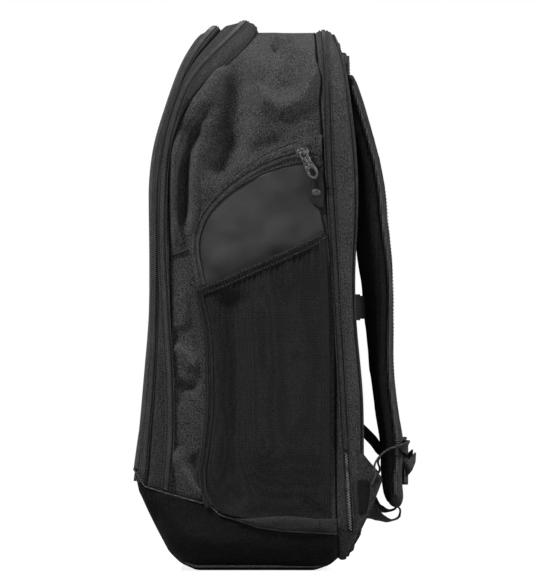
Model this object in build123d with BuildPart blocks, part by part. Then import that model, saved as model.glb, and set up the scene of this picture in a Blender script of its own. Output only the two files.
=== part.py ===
"""Racket backpack standing on its base.

Frame: X is the width, -Y the pocket side, +Y the carrying side, +Z up.
The origin is in the middle of the resting face of the base.  Millimetres.
"""

import os
from math import cos, radians, sin

from build123d import *

# Overall form of the bag
HALF_WIDTH = 160
CROWN = 511
CROWN_CORNER = 98
FOOT_CORNER = 38
WALL = 3
REACH = 200

# Rolled zip bands: how far each stands out sideways and how high its crown is
MAIN_BAND_HALF = 161
MAIN_BAND_CROWN = 518
FRONT_BAND_HALF = 159.5
FRONT_BAND_CROWN = 513.5
RACKET_BAND_HALF = 159
RACKET_BAND_CROWN = 509.8
COIL_HEIGHT = 1.8

# Side pocket zip
ARC_Y = 64
ARC_Z = 250
ARC_RADIUS = 147
ARC_START = 98
ARC_END = 140
TAPE_WIDTH = 12
SLIDER_ANGLE = 100

# Bottle pocket
POCKET_DEPTH = 10
POCKET_WALL = 1.5
HEM_EXTRA = 1.5

# Carrying side
BACK_FACE = 3.5
PANEL_THICK = 3
SHEET_THICK = 1.5
PAD_THICK = 2.2
WEBBING_WIDTH = 24
WEBBING_THICK = 1.8

# Zip sliders
SLIDER_LENGTH = 10
SLIDER_WIDTH = 8.4
SLIDER_HEIGHT = 3.6
PIVOT_HEIGHT = 6
PIN_RADIUS = 0.7
EYE_RADIUS = 1.8
EYE_BORE = 1.0
PULLER_LENGTH = 26
RUN_CLEARANCE = 0.4

# Seam lines seen from the side, as (Y, Z) from the crown down
FRONT_FACE = [(-56.5, 513), (-76.6, 478), (-89, 443), (-102, 398), (-105.5, 352),
              (-105.5, 294), (-108, 214), (-113, 156), (-119.5, 101), (-122, 84)]
FRONT_SEAM = [(-48, 516), (-61, 501), (-74.5, 476), (-86.5, 443), (-99.3, 398), (-102.8, 352),
              (-102.8, 294), (-105, 214), (-110, 156), (-116.5, 101), (-119, 84)]
ROLL_SEAM = [(-37, 516), (-54.5, 495), (-67, 479), (-79, 453), (-86.5, 430), (-93.5, 398),
             (-97.5, 352), (-98, 294), (-99.5, 214), (-103, 156), (-107, 101), (-108, 74)]
MAIN_SEAM = [(-5, 521), (-19, 496), (-36.5, 479), (-53.5, 460), (-69, 441.5), (-80, 420),
             (-86, 398), (-88, 340), (-86.5, 256), (-85, 160), (-86, 112), (-91, 68)]
RACKET_SEAM = [(50, 513), (54.5, 450), (59.5, 370), (66, 290), (69.5, 220), (70, 65), (72.5, 10)]
BACK_EDGE = [(66, 513), (76.5, 484), (82, 450), (87, 405), (89.5, 350), (87, 290), (87, 250),
             (90.5, 205), (94, 165), (94.8, 110), (94.5, 60), (92.5, 34)]
MAIN_ZIP = [(-13, 522), (-48, 487), (-70, 461), (-80.5, 437), (-90, 400), (-93.5, 365),
            (-94, 300), (-94, 60)]
FRONT_ZIP = [(-42.5, 516), (-58, 498), (-71, 477.5), (-83, 447), (-96.4, 398), (-101, 352),
             (-101.5, 294), (-103, 214), (-106.5, 156), (-111.5, 101), (-112, 78)]
RACKET_ZIP = [(58, 513), (61.5, 470), (63, 410), (64.6, 370), (66.4, 340), (69, 295), (76, 175),
              (83.5, 45), (85, 20)]

# Outline of the base boot: its top seam from the front to the racket band, then underneath
BOOT_SEAM = [(-124, 101), (-111, 80), (-92, 74), (-69, 67.5), (-50, 62.5), (-40, 53),
             (-23, 48), (-4, 41.5), (19, 38), (72, 35)]
BOOT_UNDER = [(72.4, 12), (64, 5), (50, 0), (-62, 0), (-77.5, 7), (-89, 18.5), (-106, 53),
              (-117, 76), (-120.6, 95)]
BOOT_FLOOR = 4
BOOT_CAVITY = [(-116, 110), (-115.5, 92), (-112, 76), (-101.5, 53), (-85, 21), (-75, 9),
               (-62, BOOT_FLOOR), (75, BOOT_FLOOR), (75, 110)]


def save(piece, label):
    piece.part.label = label
    export_step(piece.part, "parts/" + label + ".step")


def save_pair(piece, label):
    """Write a piece made on the +X side and its mirror image on the -X side."""
    save(piece, label + "_right")
    with BuildPart() as twin:
        mirror(piece.part, about=Plane.YZ)
    save(twin, label + "_left")


def shifted(line, dy):
    return [(y + dy, z) for y, z in line]


def side_band(front, back):
    """Face between two seam lines in the side view."""
    with BuildSketch(Plane.YZ) as face:
        with BuildLine():
            near = Spline(*front)
            far = Spline(*back)
            Line(near @ 0, far @ 0)
            Line(near @ 1, far @ 1)
        make_face()
    return face.sketch


def side_polygon(points):
    with BuildSketch(Plane.YZ) as face:
        with BuildLine():
            Polyline(*points, close=True)
        make_face()
    return face.sketch


def across(face, half=REACH):
    """Solid of a side-view face, as wide as twice half."""
    with BuildPart() as prism:
        extrude(face, amount=half, both=True)
    return prism.part


def arch(half_width, crown, corner=CROWN_CORNER, foot_corner=FOOT_CORNER, foot=0):
    """Solid inside an arched outline in the front view, along the whole depth."""
    with BuildPart() as block:
        with BuildSketch(Plane.XZ) as outline:
            with Locations((0, (crown + foot) / 2)):
                Rectangle(2 * half_width, crown - foot)
            fillet(outline.vertices().group_by(Axis.Y)[-1], corner)
            fillet(outline.vertices().group_by(Axis.Y)[0], foot_corner)
        extrude(amount=REACH, both=True)
    return block.part


def arch_tube(half_width, crown, thick, corner=CROWN_CORNER, foot_corner=FOOT_CORNER, foot=0):
    with BuildPart() as tube:
        add(arch(half_width, crown, corner, foot_corner, foot))
        add(
            arch(half_width - thick, crown - thick, corner - thick, foot_corner - thick, foot + thick),
            mode=Mode.SUBTRACT,
        )
    return tube.part


boot_block = across(side_polygon(BOOT_SEAM + BOOT_UNDER))
below_boot_seam = across(side_polygon(BOOT_SEAM + [(80, 35), (80, -60), (-124, -60)]))


def shell_band(front, back, half_width, crown, thick, corner=CROWN_CORNER):
    """Arched band of the bag between two side-view seams, down to the boot."""
    with BuildPart() as band:
        add(across(side_band(front, back)))
        add(arch_tube(half_width, crown, thick, corner), mode=Mode.INTERSECT)
        add(below_boot_seam, mode=Mode.SUBTRACT)
    return band


def cross_panel(front, back, half_width, crown, foot=0, corner=CROWN_CORNER, cut_boot=False):
    """Panel that closes the bag across its width, between two side-view lines."""
    with BuildPart() as panel:
        add(across(side_band(front, back)))
        add(arch(half_width, crown, corner, FOOT_CORNER, foot), mode=Mode.INTERSECT)
        if cut_boot:
            add(below_boot_seam, mode=Mode.SUBTRACT)
    return panel


def coil_band(line, width, half_width, crown, foot):
    """Zip coil that follows a line in the side view, standing on an arched band."""
    with BuildPart() as coil:
        add(across(side_band(shifted(line, -width / 2), shifted(line, width / 2))))
        add(
            arch_tube(half_width + COIL_HEIGHT, crown + COIL_HEIGHT, COIL_HEIGHT),
            mode=Mode.INTERSECT,
        )
        with BuildSketch(Plane.XY.offset(foot)) as cut:
            Rectangle(2 * REACH, 2 * REACH)
        extrude(cut.sketch, amount=-REACH, mode=Mode.SUBTRACT)
    return coil


os.makedirs("parts", exist_ok=True)

# Bag shell -----------------------------------------------------------------
save(shell_band(MAIN_SEAM, RACKET_SEAM, HALF_WIDTH, CROWN, WALL), "main_gusset")
save(
    shell_band(ROLL_SEAM, MAIN_SEAM, MAIN_BAND_HALF, MAIN_BAND_CROWN, 7, 105),
    "main_zip_band",
)
save(
    shell_band(FRONT_SEAM, ROLL_SEAM, FRONT_BAND_HALF, FRONT_BAND_CROWN, 6),
    "front_zip_band",
)
save(
    cross_panel(FRONT_FACE, FRONT_SEAM, FRONT_BAND_HALF, FRONT_BAND_CROWN, cut_boot=True),
    "front_panel",
)
save(
    cross_panel(
        shifted(ROLL_SEAM, 6),
        shifted(ROLL_SEAM, 7.5),
        MAIN_BAND_HALF - 7.2,
        MAIN_BAND_CROWN - 7.2,
        corner=98.4,
        cut_boot=True,
    ),
    "front_pocket_wall",
)

# Racket compartment --------------------------------------------------------
RACKET_FOOT = 12
with BuildPart() as racket_band:
    add(across(side_band(RACKET_SEAM, BACK_EDGE)))
    add(
        arch_tube(RACKET_BAND_HALF, RACKET_BAND_CROWN, WALL, CROWN_CORNER, FOOT_CORNER, RACKET_FOOT),
        mode=Mode.INTERSECT,
    )
save(racket_band, "racket_band")

INNER_HALF = RACKET_BAND_HALF - WALL - 0.3
INNER_CROWN = RACKET_BAND_CROWN - WALL - 0.3
INNER_FOOT = RACKET_FOOT + WALL + 0.3
panel_outer = shifted(BACK_EDGE, -BACK_FACE)
panel_inner = shifted(BACK_EDGE, -BACK_FACE - PANEL_THICK)
sheet_inner = shifted(BACK_EDGE, -BACK_FACE - PANEL_THICK - SHEET_THICK)
save(
    cross_panel(RACKET_SEAM, shifted(RACKET_SEAM, WALL), INNER_HALF, INNER_CROWN, INNER_FOOT),
    "compartment_divider",
)
save(cross_panel(panel_inner, panel_outer, INNER_HALF, INNER_CROWN, INNER_FOOT), "back_panel")
save(cross_panel(sheet_inner, panel_inner, 130, 480, 60), "frame_sheet")

# Foam pads of the back: a tall pad each side of an air channel, and a lumbar pad below
pad_slab = across(side_band(panel_outer, shifted(BACK_EDGE, -BACK_FACE + PAD_THICK)))
with BuildPart() as back_pads:
    with BuildSketch(Plane.XZ) as outline:
        with Locations((66, 290), (-66, 290)):
            RectangleRounded(100, 224, 22)
    extrude(amount=REACH, both=True)
    add(pad_slab, mode=Mode.INTERSECT)
save(back_pads, "back_pads")
with BuildPart() as lumbar_pad:
    with BuildSketch(Plane.XZ) as outline:
        with Locations((0, 108)):
            RectangleRounded(232, 116, 24)
    extrude(amount=REACH, both=True)
    add(pad_slab, mode=Mode.INTERSECT)
save(lumbar_pad, "lumbar_pad")

# Base ----------------------------------------------------------------------
with BuildPart() as base_boot:
    add(boot_block)
    add(arch(HALF_WIDTH + 1, CROWN), mode=Mode.INTERSECT)
    with BuildPart(mode=Mode.PRIVATE) as cavity:
        add(across(side_polygon(BOOT_CAVITY)))
        add(
            arch(HALF_WIDTH - WALL, CROWN, CROWN_CORNER, FOOT_CORNER - WALL, BOOT_FLOOR),
            mode=Mode.INTERSECT,
        )
    add(cavity.part, mode=Mode.SUBTRACT)
save(base_boot, "base_boot")

BOARD_THICK = 3
with BuildPart() as base_board:
    with Locations((0, -8, BOOT_FLOOR + BOARD_THICK / 2)):
        Box(240, 100, BOARD_THICK)
save(base_board, "base_board")

# Laptop sleeve hung on the divider, open at its top
SLEEVE_HALF = 125
SLEEVE_DEPTH = 22
with BuildPart() as laptop_sleeve:
    add(across(side_band(shifted(RACKET_SEAM, -SLEEVE_DEPTH), RACKET_SEAM), SLEEVE_HALF))
    add(
        across(
            side_band(shifted(RACKET_SEAM, 2 - SLEEVE_DEPTH), shifted(RACKET_SEAM, 1)),
            SLEEVE_HALF - 2,
        ),
        mode=Mode.SUBTRACT,
    )
    with Locations((0, 0, 175)):
        Box(2 * REACH, 2 * REACH, 250, mode=Mode.INTERSECT)
save(laptop_sleeve, "laptop_sleeve")

# Zip coils round the bag ----------------------------------------------------
save(coil_band(MAIN_ZIP, 4, MAIN_BAND_HALF, MAIN_BAND_CROWN, 90), "main_coil")
save(coil_band(FRONT_ZIP, 3, FRONT_BAND_HALF, FRONT_BAND_CROWN, 104), "front_coil")
save(coil_band(RACKET_ZIP, 4, RACKET_BAND_HALF, RACKET_BAND_CROWN, 52), "racket_coil")

# Side zip pocket ------------------------------------------------------------
BEND_RADIUS = 60
BEND_TURN = 52
TAIL_LENGTH = 26
side_face = Plane.YZ.offset(HALF_WIDTH)


def side_zip_strip(offset, width, thick):
    """Strip along the side zip: a wide arc, a tighter bend, then a short straight tail."""
    with BuildPart() as strip:
        with BuildSketch(Plane.YZ.offset(HALF_WIDTH + offset)):
            with BuildLine():
                arc = CenterArc((ARC_Y, ARC_Z), ARC_RADIUS, ARC_START, ARC_END - ARC_START)
                bend = JernArc(arc @ 1, arc % 1, BEND_RADIUS, BEND_TURN)
                PolarLine(bend @ 1, TAIL_LENGTH, direction=bend % 1)
            trace(line_width=width)
        extrude(amount=thick)
    return strip


TAPE_THICK = 1
SIDE_COIL_WIDTH = 4
SIDE_COIL_THICK = 1.6
with BuildPart() as side_zip:
    add(side_zip_strip(0, TAPE_WIDTH, TAPE_THICK).part)
    add(side_zip_strip(TAPE_THICK, SIDE_COIL_WIDTH, SIDE_COIL_THICK).part)
save_pair(side_zip, "side_zip")

with BuildPart() as smooth_panel:
    with BuildSketch(side_face):
        with BuildLine():
            inner = ARC_RADIUS - TAPE_WIDTH / 2
            arc = CenterArc((ARC_Y, ARC_Z), inner, ARC_START, ARC_END - ARC_START)
            bend = JernArc(arc @ 1, arc % 1, BEND_RADIUS - TAPE_WIDTH / 2, BEND_TURN)
            Polyline(bend @ 1, (-49.2, 270), (-48.5, 256), (55.5, 310), (55.5, 350), (53, 384), arc @ 0)
        make_face()
    extrude(amount=TAPE_THICK)
save_pair(smooth_panel, "smooth_panel")

with BuildPart() as zip_garages:
    with BuildSketch(side_face):
        Polygon((40, 403), (43, 410.5), (56, 411.5), (57, 402), (50, 400.5), align=None)
    extrude(amount=TAPE_THICK + 0.8)
    mirror(about=Plane.YZ)
save(zip_garages, "zip_garages")

# Bottle pockets -------------------------------------------------------------
POCKET_FRONT = [(-52, 258), (-50, 227), (-48, 189), (-48, 151), (-52, 112), (-55, 93),
                (-53.5, 74), (-49, 64)]
POCKET_UNDER = [(-39.5, 54.5), (-22.5, 49.5), (-3.5, 43), (19, 39.5), (64.5, 36.5)]
POCKET_REAR = [(64.5, 220), (61, 290), (58.5, 310.5)]
HEM_FRONT = (-57, 265.5)
HEM_REAR = (58, 321)
POCKET_EDGE = 2.5


def pocket_outline(inset):
    front = [(y + inset, z) for y, z in POCKET_FRONT]
    under = [(y, z + inset) for y, z in POCKET_UNDER]
    rear = [(y - inset, z) for y, z in POCKET_REAR]
    return front, under, rear


def pocket_block(points, depth):
    with BuildPart() as block:
        with BuildSketch(side_face):
            Polygon(*points, align=None)
        extrude(amount=depth)
    return block.part


front, under, rear = pocket_outline(0)
front_in, under_in, rear_in = pocket_outline(POCKET_EDGE)
mouth = [(rear_in[-1][0], 340), (front_in[0][0], 290)]
pocket_cavity = pocket_block(front_in + under_in + rear_in + mouth, POCKET_DEPTH - POCKET_WALL)
with BuildPart() as mesh_pocket:
    add(pocket_block(front + under + rear, POCKET_DEPTH))
    add(pocket_cavity, mode=Mode.SUBTRACT)
save_pair(mesh_pocket, "mesh_pocket")
with BuildPart() as pocket_hem:
    add(pocket_block([front[0], rear[-1], HEM_REAR, HEM_FRONT], POCKET_DEPTH + HEM_EXTRA))
    add(pocket_cavity, mode=Mode.SUBTRACT)
save_pair(pocket_hem, "pocket_hem")

BINDING_WIDTH = 9
with BuildPart() as pocket_binding:
    with BuildSketch(side_face):
        Polygon(
            *POCKET_FRONT,
            *[(y - BINDING_WIDTH, z + 2) for y, z in reversed(POCKET_FRONT[1:])],
            (-60, 258),
            align=None,
        )
    extrude(amount=2)
save_pair(pocket_binding, "pocket_binding")

# Wings at the foot of the back ----------------------------------------------
WING_THICK = 2.4
wing_face = Plane.YZ.offset(RACKET_BAND_HALF)
with BuildPart() as wing:
    with BuildSketch(wing_face):
        Polygon((87, 115), (90, 115), (103, 99), (113.4, 87), (93, 38), (87.5, 34), align=None)
    extrude(amount=WING_THICK)
save_pair(wing, "wing")
with BuildPart() as wing_label:
    with BuildSketch(wing_face.offset(WING_THICK)):
        Polygon((90.5, 86), (100, 86), (99, 54), (91.5, 54), align=None)
    extrude(amount=0.6)
save(wing_label, "wing_label")

with BuildPart() as lower_webbing:
    with BuildSketch(Plane.YZ.offset(116)):
        Polygon((95.2, 54), (130, 44.7), (130, 46.5), (95.2, 56), align=None)
    extrude(amount=WEBBING_WIDTH)
    mirror(about=Plane.YZ)
save(lower_webbing, "lower_webbing")

# Shoulder straps ------------------------------------------------------------
# Each station: height, sideways centre, depth centre, width, thickness, turn in degrees
STRAP_STATIONS = [
    (476, 72, 80, 50, 8, 0),
    (455, 73, 85.8, 52, 11, 3),
    (420, 77, 93.7, 56, 13, 8),
    (380, 83, 102, 60, 14, 12),
    (300, 92, 108.3, 60, 14, 21),
    (250, 92.5, 111.6, 60, 14, 19),
    (205, 93.5, 113.3, 60, 14, 12.5),
    (150, 103, 119.3, 54, 14, 10),
    (100, 113, 124.4, 50, 14, 8),
    (54, 118, 126.3, 48, 15, 6),
]
STRAP_EDGE = 3.8
with BuildPart() as shoulder_strap:
    for height, x, y, width, thick, turn in STRAP_STATIONS:
        section = Plane(origin=(x, y, height), x_dir=(cos(radians(turn)), sin(radians(turn)), 0))
        with BuildSketch(section):
            RectangleRounded(width, thick, STRAP_EDGE)
    loft()
save_pair(shoulder_strap, "shoulder_strap")

with BuildPart() as strap_anchors:
    add(across(side_band(panel_outer, shifted(BACK_EDGE, 3))))
    with Locations((72, 78, 485), (-72, 78, 485)):
        Box(54, 30, 12, mode=Mode.INTERSECT)
save(strap_anchors, "strap_anchors")

LOCK_WIDTH = 32
LOCK_HEIGHT = 26
LOCK_THICK = 4
LOCK_BAR = 3.5
lock_turn = radians(8)
lock_face = Plane(
    origin=(113, 132.4, 94),
    x_dir=(cos(lock_turn), sin(lock_turn), 0),
    z_dir=(-sin(lock_turn), cos(lock_turn), 0),
)
with BuildPart() as ladder_lock:
    with BuildSketch(lock_face):
        RectangleRounded(LOCK_WIDTH, LOCK_HEIGHT, 3)
        slot_height = (LOCK_HEIGHT - 3 * LOCK_BAR) / 2
        with GridLocations(0, slot_height + LOCK_BAR, 1, 2):
            Rectangle(LOCK_WIDTH - 2 * LOCK_BAR, slot_height, mode=Mode.SUBTRACT)
    extrude(amount=LOCK_THICK)
save_pair(ladder_lock, "ladder_lock")

# Adjusting webbing: a bow beside the strap, a wrap behind it and a short free tail
wrap_face = Plane(
    origin=(113, 132.9, 115),
    x_dir=(cos(lock_turn), sin(lock_turn), 0),
    z_dir=(-sin(lock_turn), cos(lock_turn), 0),
)
BOW_START = 140
BOW_WIDTH = 12
with BuildPart() as strap_webbing:
    with BuildSketch(Plane.YZ.offset(BOW_START)):
        with BuildLine():
            Polyline((114.5, 87), (108.5, 98), (113, 109), (122, 115), (133, 116))
        trace(line_width=WEBBING_THICK)
    extrude(amount=BOW_WIDTH)
    with BuildSketch(wrap_face):
        with Locations((11, 0)):
            Rectangle(36, 8)
    extrude(amount=WEBBING_THICK)
    with BuildSketch(Plane.YZ.offset(101)):
        with BuildLine():
            Polyline((139.4, 97), (142.6, 102), (145.4, 110))
        trace(line_width=WEBBING_THICK)
    extrude(amount=WEBBING_WIDTH)
save_pair(strap_webbing, "strap_webbing")

# Sternum strap --------------------------------------------------------------
CHEST_Z = 249
CHEST_Y = 91.2
CHEST_WEBBING = 20
BUCKLE_LENGTH = 24
BUCKLE_HEIGHT = 25
BUCKLE_THICK = 5.6
CLIP_X = 60.4
with BuildPart() as buckle_female:
    with Locations((-BUCKLE_LENGTH / 2, CHEST_Y, CHEST_Z)):
        Box(BUCKLE_LENGTH, BUCKLE_THICK, BUCKLE_HEIGHT)
    fillet(buckle_female.edges().filter_by(Axis.Y), 3)
    with Locations((-BUCKLE_LENGTH / 2 + 3, CHEST_Y, CHEST_Z)):
        Box(BUCKLE_LENGTH - 6, 3, BUCKLE_HEIGHT - 6, mode=Mode.SUBTRACT)
    with Locations((-2, CHEST_Y, CHEST_Z)):
        Box(6, 3, BUCKLE_HEIGHT - 6, mode=Mode.SUBTRACT)
save(buckle_female, "buckle_female")
with BuildPart() as buckle_male:
    with Locations((8, CHEST_Y, CHEST_Z)):
        Box(15, BUCKLE_THICK - 0.6, BUCKLE_HEIGHT - 1)
    fillet(buckle_male.edges().filter_by(Axis.Y), 2.5)
    with Locations((-7, CHEST_Y, CHEST_Z)):
        Box(16, 2, 4)
    with Locations((-6, CHEST_Y, CHEST_Z + 7), (-6, CHEST_Y, CHEST_Z - 7)):
        Box(14, 2, 3)
save(buckle_male, "buckle_male")
with BuildPart() as chest_webbing:
    with Locations((36, CHEST_Y, CHEST_Z)):
        Box(41, WEBBING_THICK, CHEST_WEBBING)
    with Locations((-40.2, CHEST_Y, CHEST_Z)):
        Box(32.4, WEBBING_THICK, CHEST_WEBBING)
save(chest_webbing, "chest_webbing")
with BuildPart() as rail_clip:
    with BuildSketch(Plane.XY.offset(CHEST_Z - 11)):
        Polygon(
            (56.5, 89.2), (CLIP_X, 89.2), (CLIP_X, 106), (57.8, 106), (57.8, 93.2), (56.5, 93.2),
            align=None,
        )
    extrude(amount=22)
save_pair(rail_clip, "rail_clip")

# Grab handle ----------------------------------------------------------------
HANDLE_Y = 81.8
HANDLE_TOP = 490
HANDLE_DROP = 44
HANDLE_HALF = 38
HANDLE_BAND = 14
HANDLE_THICK = 3.5
with BuildPart() as grab_handle:
    with BuildSketch(Plane.XZ.offset(-HANDLE_Y - HANDLE_THICK / 2)) as outline:
        with Locations((0, HANDLE_TOP - HANDLE_DROP / 2)):
            Rectangle(2 * HANDLE_HALF, HANDLE_DROP)
        fillet(outline.vertices().group_by(Axis.Y)[0], 16)
        with Locations((0, HANDLE_TOP + HANDLE_BAND - HANDLE_DROP / 2)):
            Rectangle(2 * (HANDLE_HALF - HANDLE_BAND), HANDLE_DROP, mode=Mode.SUBTRACT)
    extrude(amount=HANDLE_THICK)
save(grab_handle, "grab_handle")
with BuildPart() as handle_anchors:
    add(across(side_band(panel_outer, shifted(BACK_EDGE, 5))))
    anchor_x = HANDLE_HALF - HANDLE_BAND / 2
    with Locations((anchor_x, 78, 497), (-anchor_x, 78, 497)):
        Box(HANDLE_BAND, 30, 9.4, mode=Mode.INTERSECT)
save(handle_anchors, "handle_anchors")


# Zip sliders and their pullers ----------------------------------------------
def slider_plane(origin, hang, normal):
    """Slider frame: x along the hanging puller, z away from the bag."""
    return Plane(origin=origin, x_dir=hang, z_dir=normal)


def zip_slider(plane, width, turn=0):
    """Slider body with two posts and the pin that carries the puller."""
    with BuildPart(plane) as slider:
        with Locations(Location((0, 0, SLIDER_HEIGHT / 2), (0, 0, turn))):
            Box(SLIDER_LENGTH, width, SLIDER_HEIGHT)
        post_height = PIVOT_HEIGHT + PIN_RADIUS - SLIDER_HEIGHT
        post_y = width / 2 - 0.5
        with Locations(
            (0, post_y, SLIDER_HEIGHT + post_height / 2),
            (0, -post_y, SLIDER_HEIGHT + post_height / 2),
        ):
            Box(2 * PIN_RADIUS + 0.4, 1, post_height)
        with Locations(Location((0, 0, PIVOT_HEIGHT), (90, 0, 0))):
            Cylinder(PIN_RADIUS, width - 0.4)
    return slider


def zip_puller(plane, width):
    """Puller tab whose eye turns on the slider's pin."""
    neck = width - 2 - 2 * RUN_CLEARANCE
    with BuildPart(plane) as puller:
        with BuildSketch(plane.offset(PIVOT_HEIGHT - 0.8)):
            with Locations((PULLER_LENGTH / 2, 0)):
                Rectangle(PULLER_LENGTH, neck)
            with Locations((PULLER_LENGTH / 2 + 4, 0)):
                RectangleRounded(PULLER_LENGTH - 5, width - 0.4, 2.4)
            with Locations((PULLER_LENGTH - 4.5, 0)):
                SlotOverall(6, 2.6, mode=Mode.SUBTRACT)
        extrude(amount=1.6)
        with Locations(Location((0, 0, PIVOT_HEIGHT), (90, 0, 0))):
            Cylinder(EYE_RADIUS, neck)
            Cylinder(EYE_BORE, neck + 1, mode=Mode.SUBTRACT)
    return puller


HANG_ANGLE = 63
side_slider_plane = slider_plane(
    (
        HALF_WIDTH + TAPE_THICK + SIDE_COIL_THICK + RUN_CLEARANCE,
        ARC_Y + ARC_RADIUS * cos(radians(SLIDER_ANGLE)),
        ARC_Z + ARC_RADIUS * sin(radians(SLIDER_ANGLE)),
    ),
    (0, cos(radians(HANG_ANGLE)), -sin(radians(HANG_ANGLE))),
    (1, 0, 0),
)
side_turn = HANG_ANGLE + SLIDER_ANGLE - 90
save_pair(zip_slider(side_slider_plane, SLIDER_WIDTH, side_turn), "side_slider")
save_pair(zip_puller(side_slider_plane, SLIDER_WIDTH), "side_puller")

# Sliders on the straight run of each zip down the -X side: name, band, Y, Z, width
NARROW = 7
SMALL = 6.4
RACKET_Y = 68.7
RACKET_STEP = 2.1
for label, band_half, y, z, width in [
    ("main_upper", MAIN_BAND_HALF, -94, 300, NARROW),
    ("main_lower", MAIN_BAND_HALF, -94, 264, NARROW),
    ("front", FRONT_BAND_HALF, -101.5, 330, SMALL),
    ("racket_upper", RACKET_BAND_HALF, RACKET_Y, 300, NARROW),
    ("racket_lower", RACKET_BAND_HALF, RACKET_Y + RACKET_STEP, 264, NARROW),
]:
    height = band_half + COIL_HEIGHT + RUN_CLEARANCE
    run_plane = slider_plane((-height, y, z), (0, 0, -1), (-1, 0, 0))
    save(zip_slider(run_plane, width), label + "_slider")
    save(zip_puller(run_plane, width), label + "_puller")
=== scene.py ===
import math

import bpy
import numpy as np
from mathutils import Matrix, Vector


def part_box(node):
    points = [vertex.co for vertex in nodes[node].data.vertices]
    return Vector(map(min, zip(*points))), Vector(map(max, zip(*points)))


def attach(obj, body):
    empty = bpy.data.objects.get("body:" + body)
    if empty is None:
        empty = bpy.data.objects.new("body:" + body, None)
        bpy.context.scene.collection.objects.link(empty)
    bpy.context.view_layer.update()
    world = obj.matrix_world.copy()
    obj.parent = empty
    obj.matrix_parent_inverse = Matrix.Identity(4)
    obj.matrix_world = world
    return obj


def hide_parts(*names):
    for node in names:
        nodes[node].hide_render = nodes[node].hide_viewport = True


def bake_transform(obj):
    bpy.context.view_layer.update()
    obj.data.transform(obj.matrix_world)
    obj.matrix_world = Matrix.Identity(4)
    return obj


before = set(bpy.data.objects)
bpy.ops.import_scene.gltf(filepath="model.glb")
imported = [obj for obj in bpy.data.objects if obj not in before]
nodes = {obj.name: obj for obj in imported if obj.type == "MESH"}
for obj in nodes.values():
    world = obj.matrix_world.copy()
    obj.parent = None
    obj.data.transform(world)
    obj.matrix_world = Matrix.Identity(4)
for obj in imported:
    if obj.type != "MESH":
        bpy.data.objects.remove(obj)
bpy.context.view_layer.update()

MM = 0.001
SIDES = (("right", 1), ("left", -1))


# Reading the frame, in millimetres ------------------------------------------------------
def node_mesh(name):
    """Vertices and edges of a CAD node."""
    mesh = nodes[name].data
    points = np.empty(len(mesh.vertices) * 3)
    mesh.vertices.foreach_get("co", points)
    edges = np.empty(len(mesh.edges) * 2, int)
    mesh.edges.foreach_get("vertices", edges)
    return points.reshape(-1, 3) / MM, edges.reshape(-1, 2)


def box(name):
    low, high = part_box(name)
    return np.array(low) / MM, np.array(high) / MM


def cut(name, axis, level):
    """Points where a node's edges cross a plane."""
    points, edges = MESHES[name]
    a = points[edges[:, 0]]
    b = points[edges[:, 1]]
    da = a[:, axis] - level
    db = b[:, axis] - level
    hit = da * db < 0
    share = (da[hit] / (da[hit] - db[hit]))[:, None]
    return a[hit] + share * (b[hit] - a[hit])


def curve(xs, ys):
    """A function through the points, straight beyond its ends."""
    xs = np.asarray(xs, float)
    ys = np.asarray(ys, float)

    def at(x):
        x = np.asarray(x, float)
        inside = np.interp(x, xs, ys)
        below = (ys[1] - ys[0]) / (xs[1] - xs[0]) * np.minimum(x - xs[0], 0)
        above = (ys[-1] - ys[-2]) / (xs[-1] - xs[-2]) * np.maximum(x - xs[-1], 0)
        return inside + below + above

    return at


def seam_pair(name, low, step=6.0):
    """Front and rear seam of a band: Y as a function of Z."""
    top = box(name)[1][2] - 0.4
    rows = []
    for level in np.append(np.arange(low, top, step), top):
        ys = cut(name, 2, level)[:, 1]
        if len(ys):
            rows.append((level, ys.min(), ys.max()))
    z, front, rear = np.array(rows).T
    return curve(z, front), curve(z, rear)


MESHES = {name: node_mesh(name) for name in nodes}


# Noise, folds and small maths -----------------------------------------------------------
HASH_PRIMES = np.array([374761393, 668265263, 951274213])
HASH_MIX = 1274126177


def lattice(i, seed):
    """A fixed value from -1 to 1 at each whole-number point."""
    n = (i * HASH_PRIMES).sum(-1) + seed * HASH_MIX
    n = n & 0x7FFFFFFF
    n = ((n ^ (n >> 13)) * HASH_MIX) & 0x7FFFFFFF
    return ((n ^ (n >> 16)) & 0xFFFF) / 32767.5 - 1


def noise(points, size, seed=0):
    """Smooth noise from -1 to 1, about size millimetres across."""
    q = np.asarray(points, float) / np.asarray(size, float)
    cell = np.floor(q).astype(np.int64)
    f = q - cell
    f = f * f * (3 - 2 * f)
    total = 0.0
    for corner in np.ndindex(2, 2, 2):
        weight = np.prod(np.where(np.array(corner) == 1, f, 1 - f), axis=-1)
        total = total + weight * lattice(cell + np.array(corner), seed)
    return total


def smooth(t):
    t = np.clip(t, 0, 1)
    return t * t * (3 - 2 * t)


def unit(v):
    v = np.asarray(v, float)
    return v / np.maximum(np.linalg.norm(v, axis=-1, keepdims=True), 1e-9)


def spline(points, count):
    """Evenly spaced points on a smooth line through the given ones."""
    points = np.asarray(points, float)
    padded = np.vstack([2 * points[0] - points[1], points, 2 * points[-1] - points[-2]])
    fine = []
    for k in range(len(points) - 1):
        a, b, c, d = padded[k:k + 4]
        for t in np.linspace(0, 1, 24, endpoint=False):
            fine.append(0.5 * (2 * b + (c - a) * t + (2 * a - 5 * b + 4 * c - d) * t**2
                               + (3 * b - a - 3 * c + d) * t**3))
    fine.append(points[-1])
    fine = np.array(fine)
    run = np.append(0, np.cumsum(np.linalg.norm(np.diff(fine, axis=0), axis=1)))
    even = np.linspace(0, run[-1], count)
    return np.stack([np.interp(even, run, fine[:, k]) for k in range(fine.shape[1])], axis=1)


def length_of(path):
    return float(np.linalg.norm(np.diff(path, axis=0), axis=1).sum())


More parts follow.
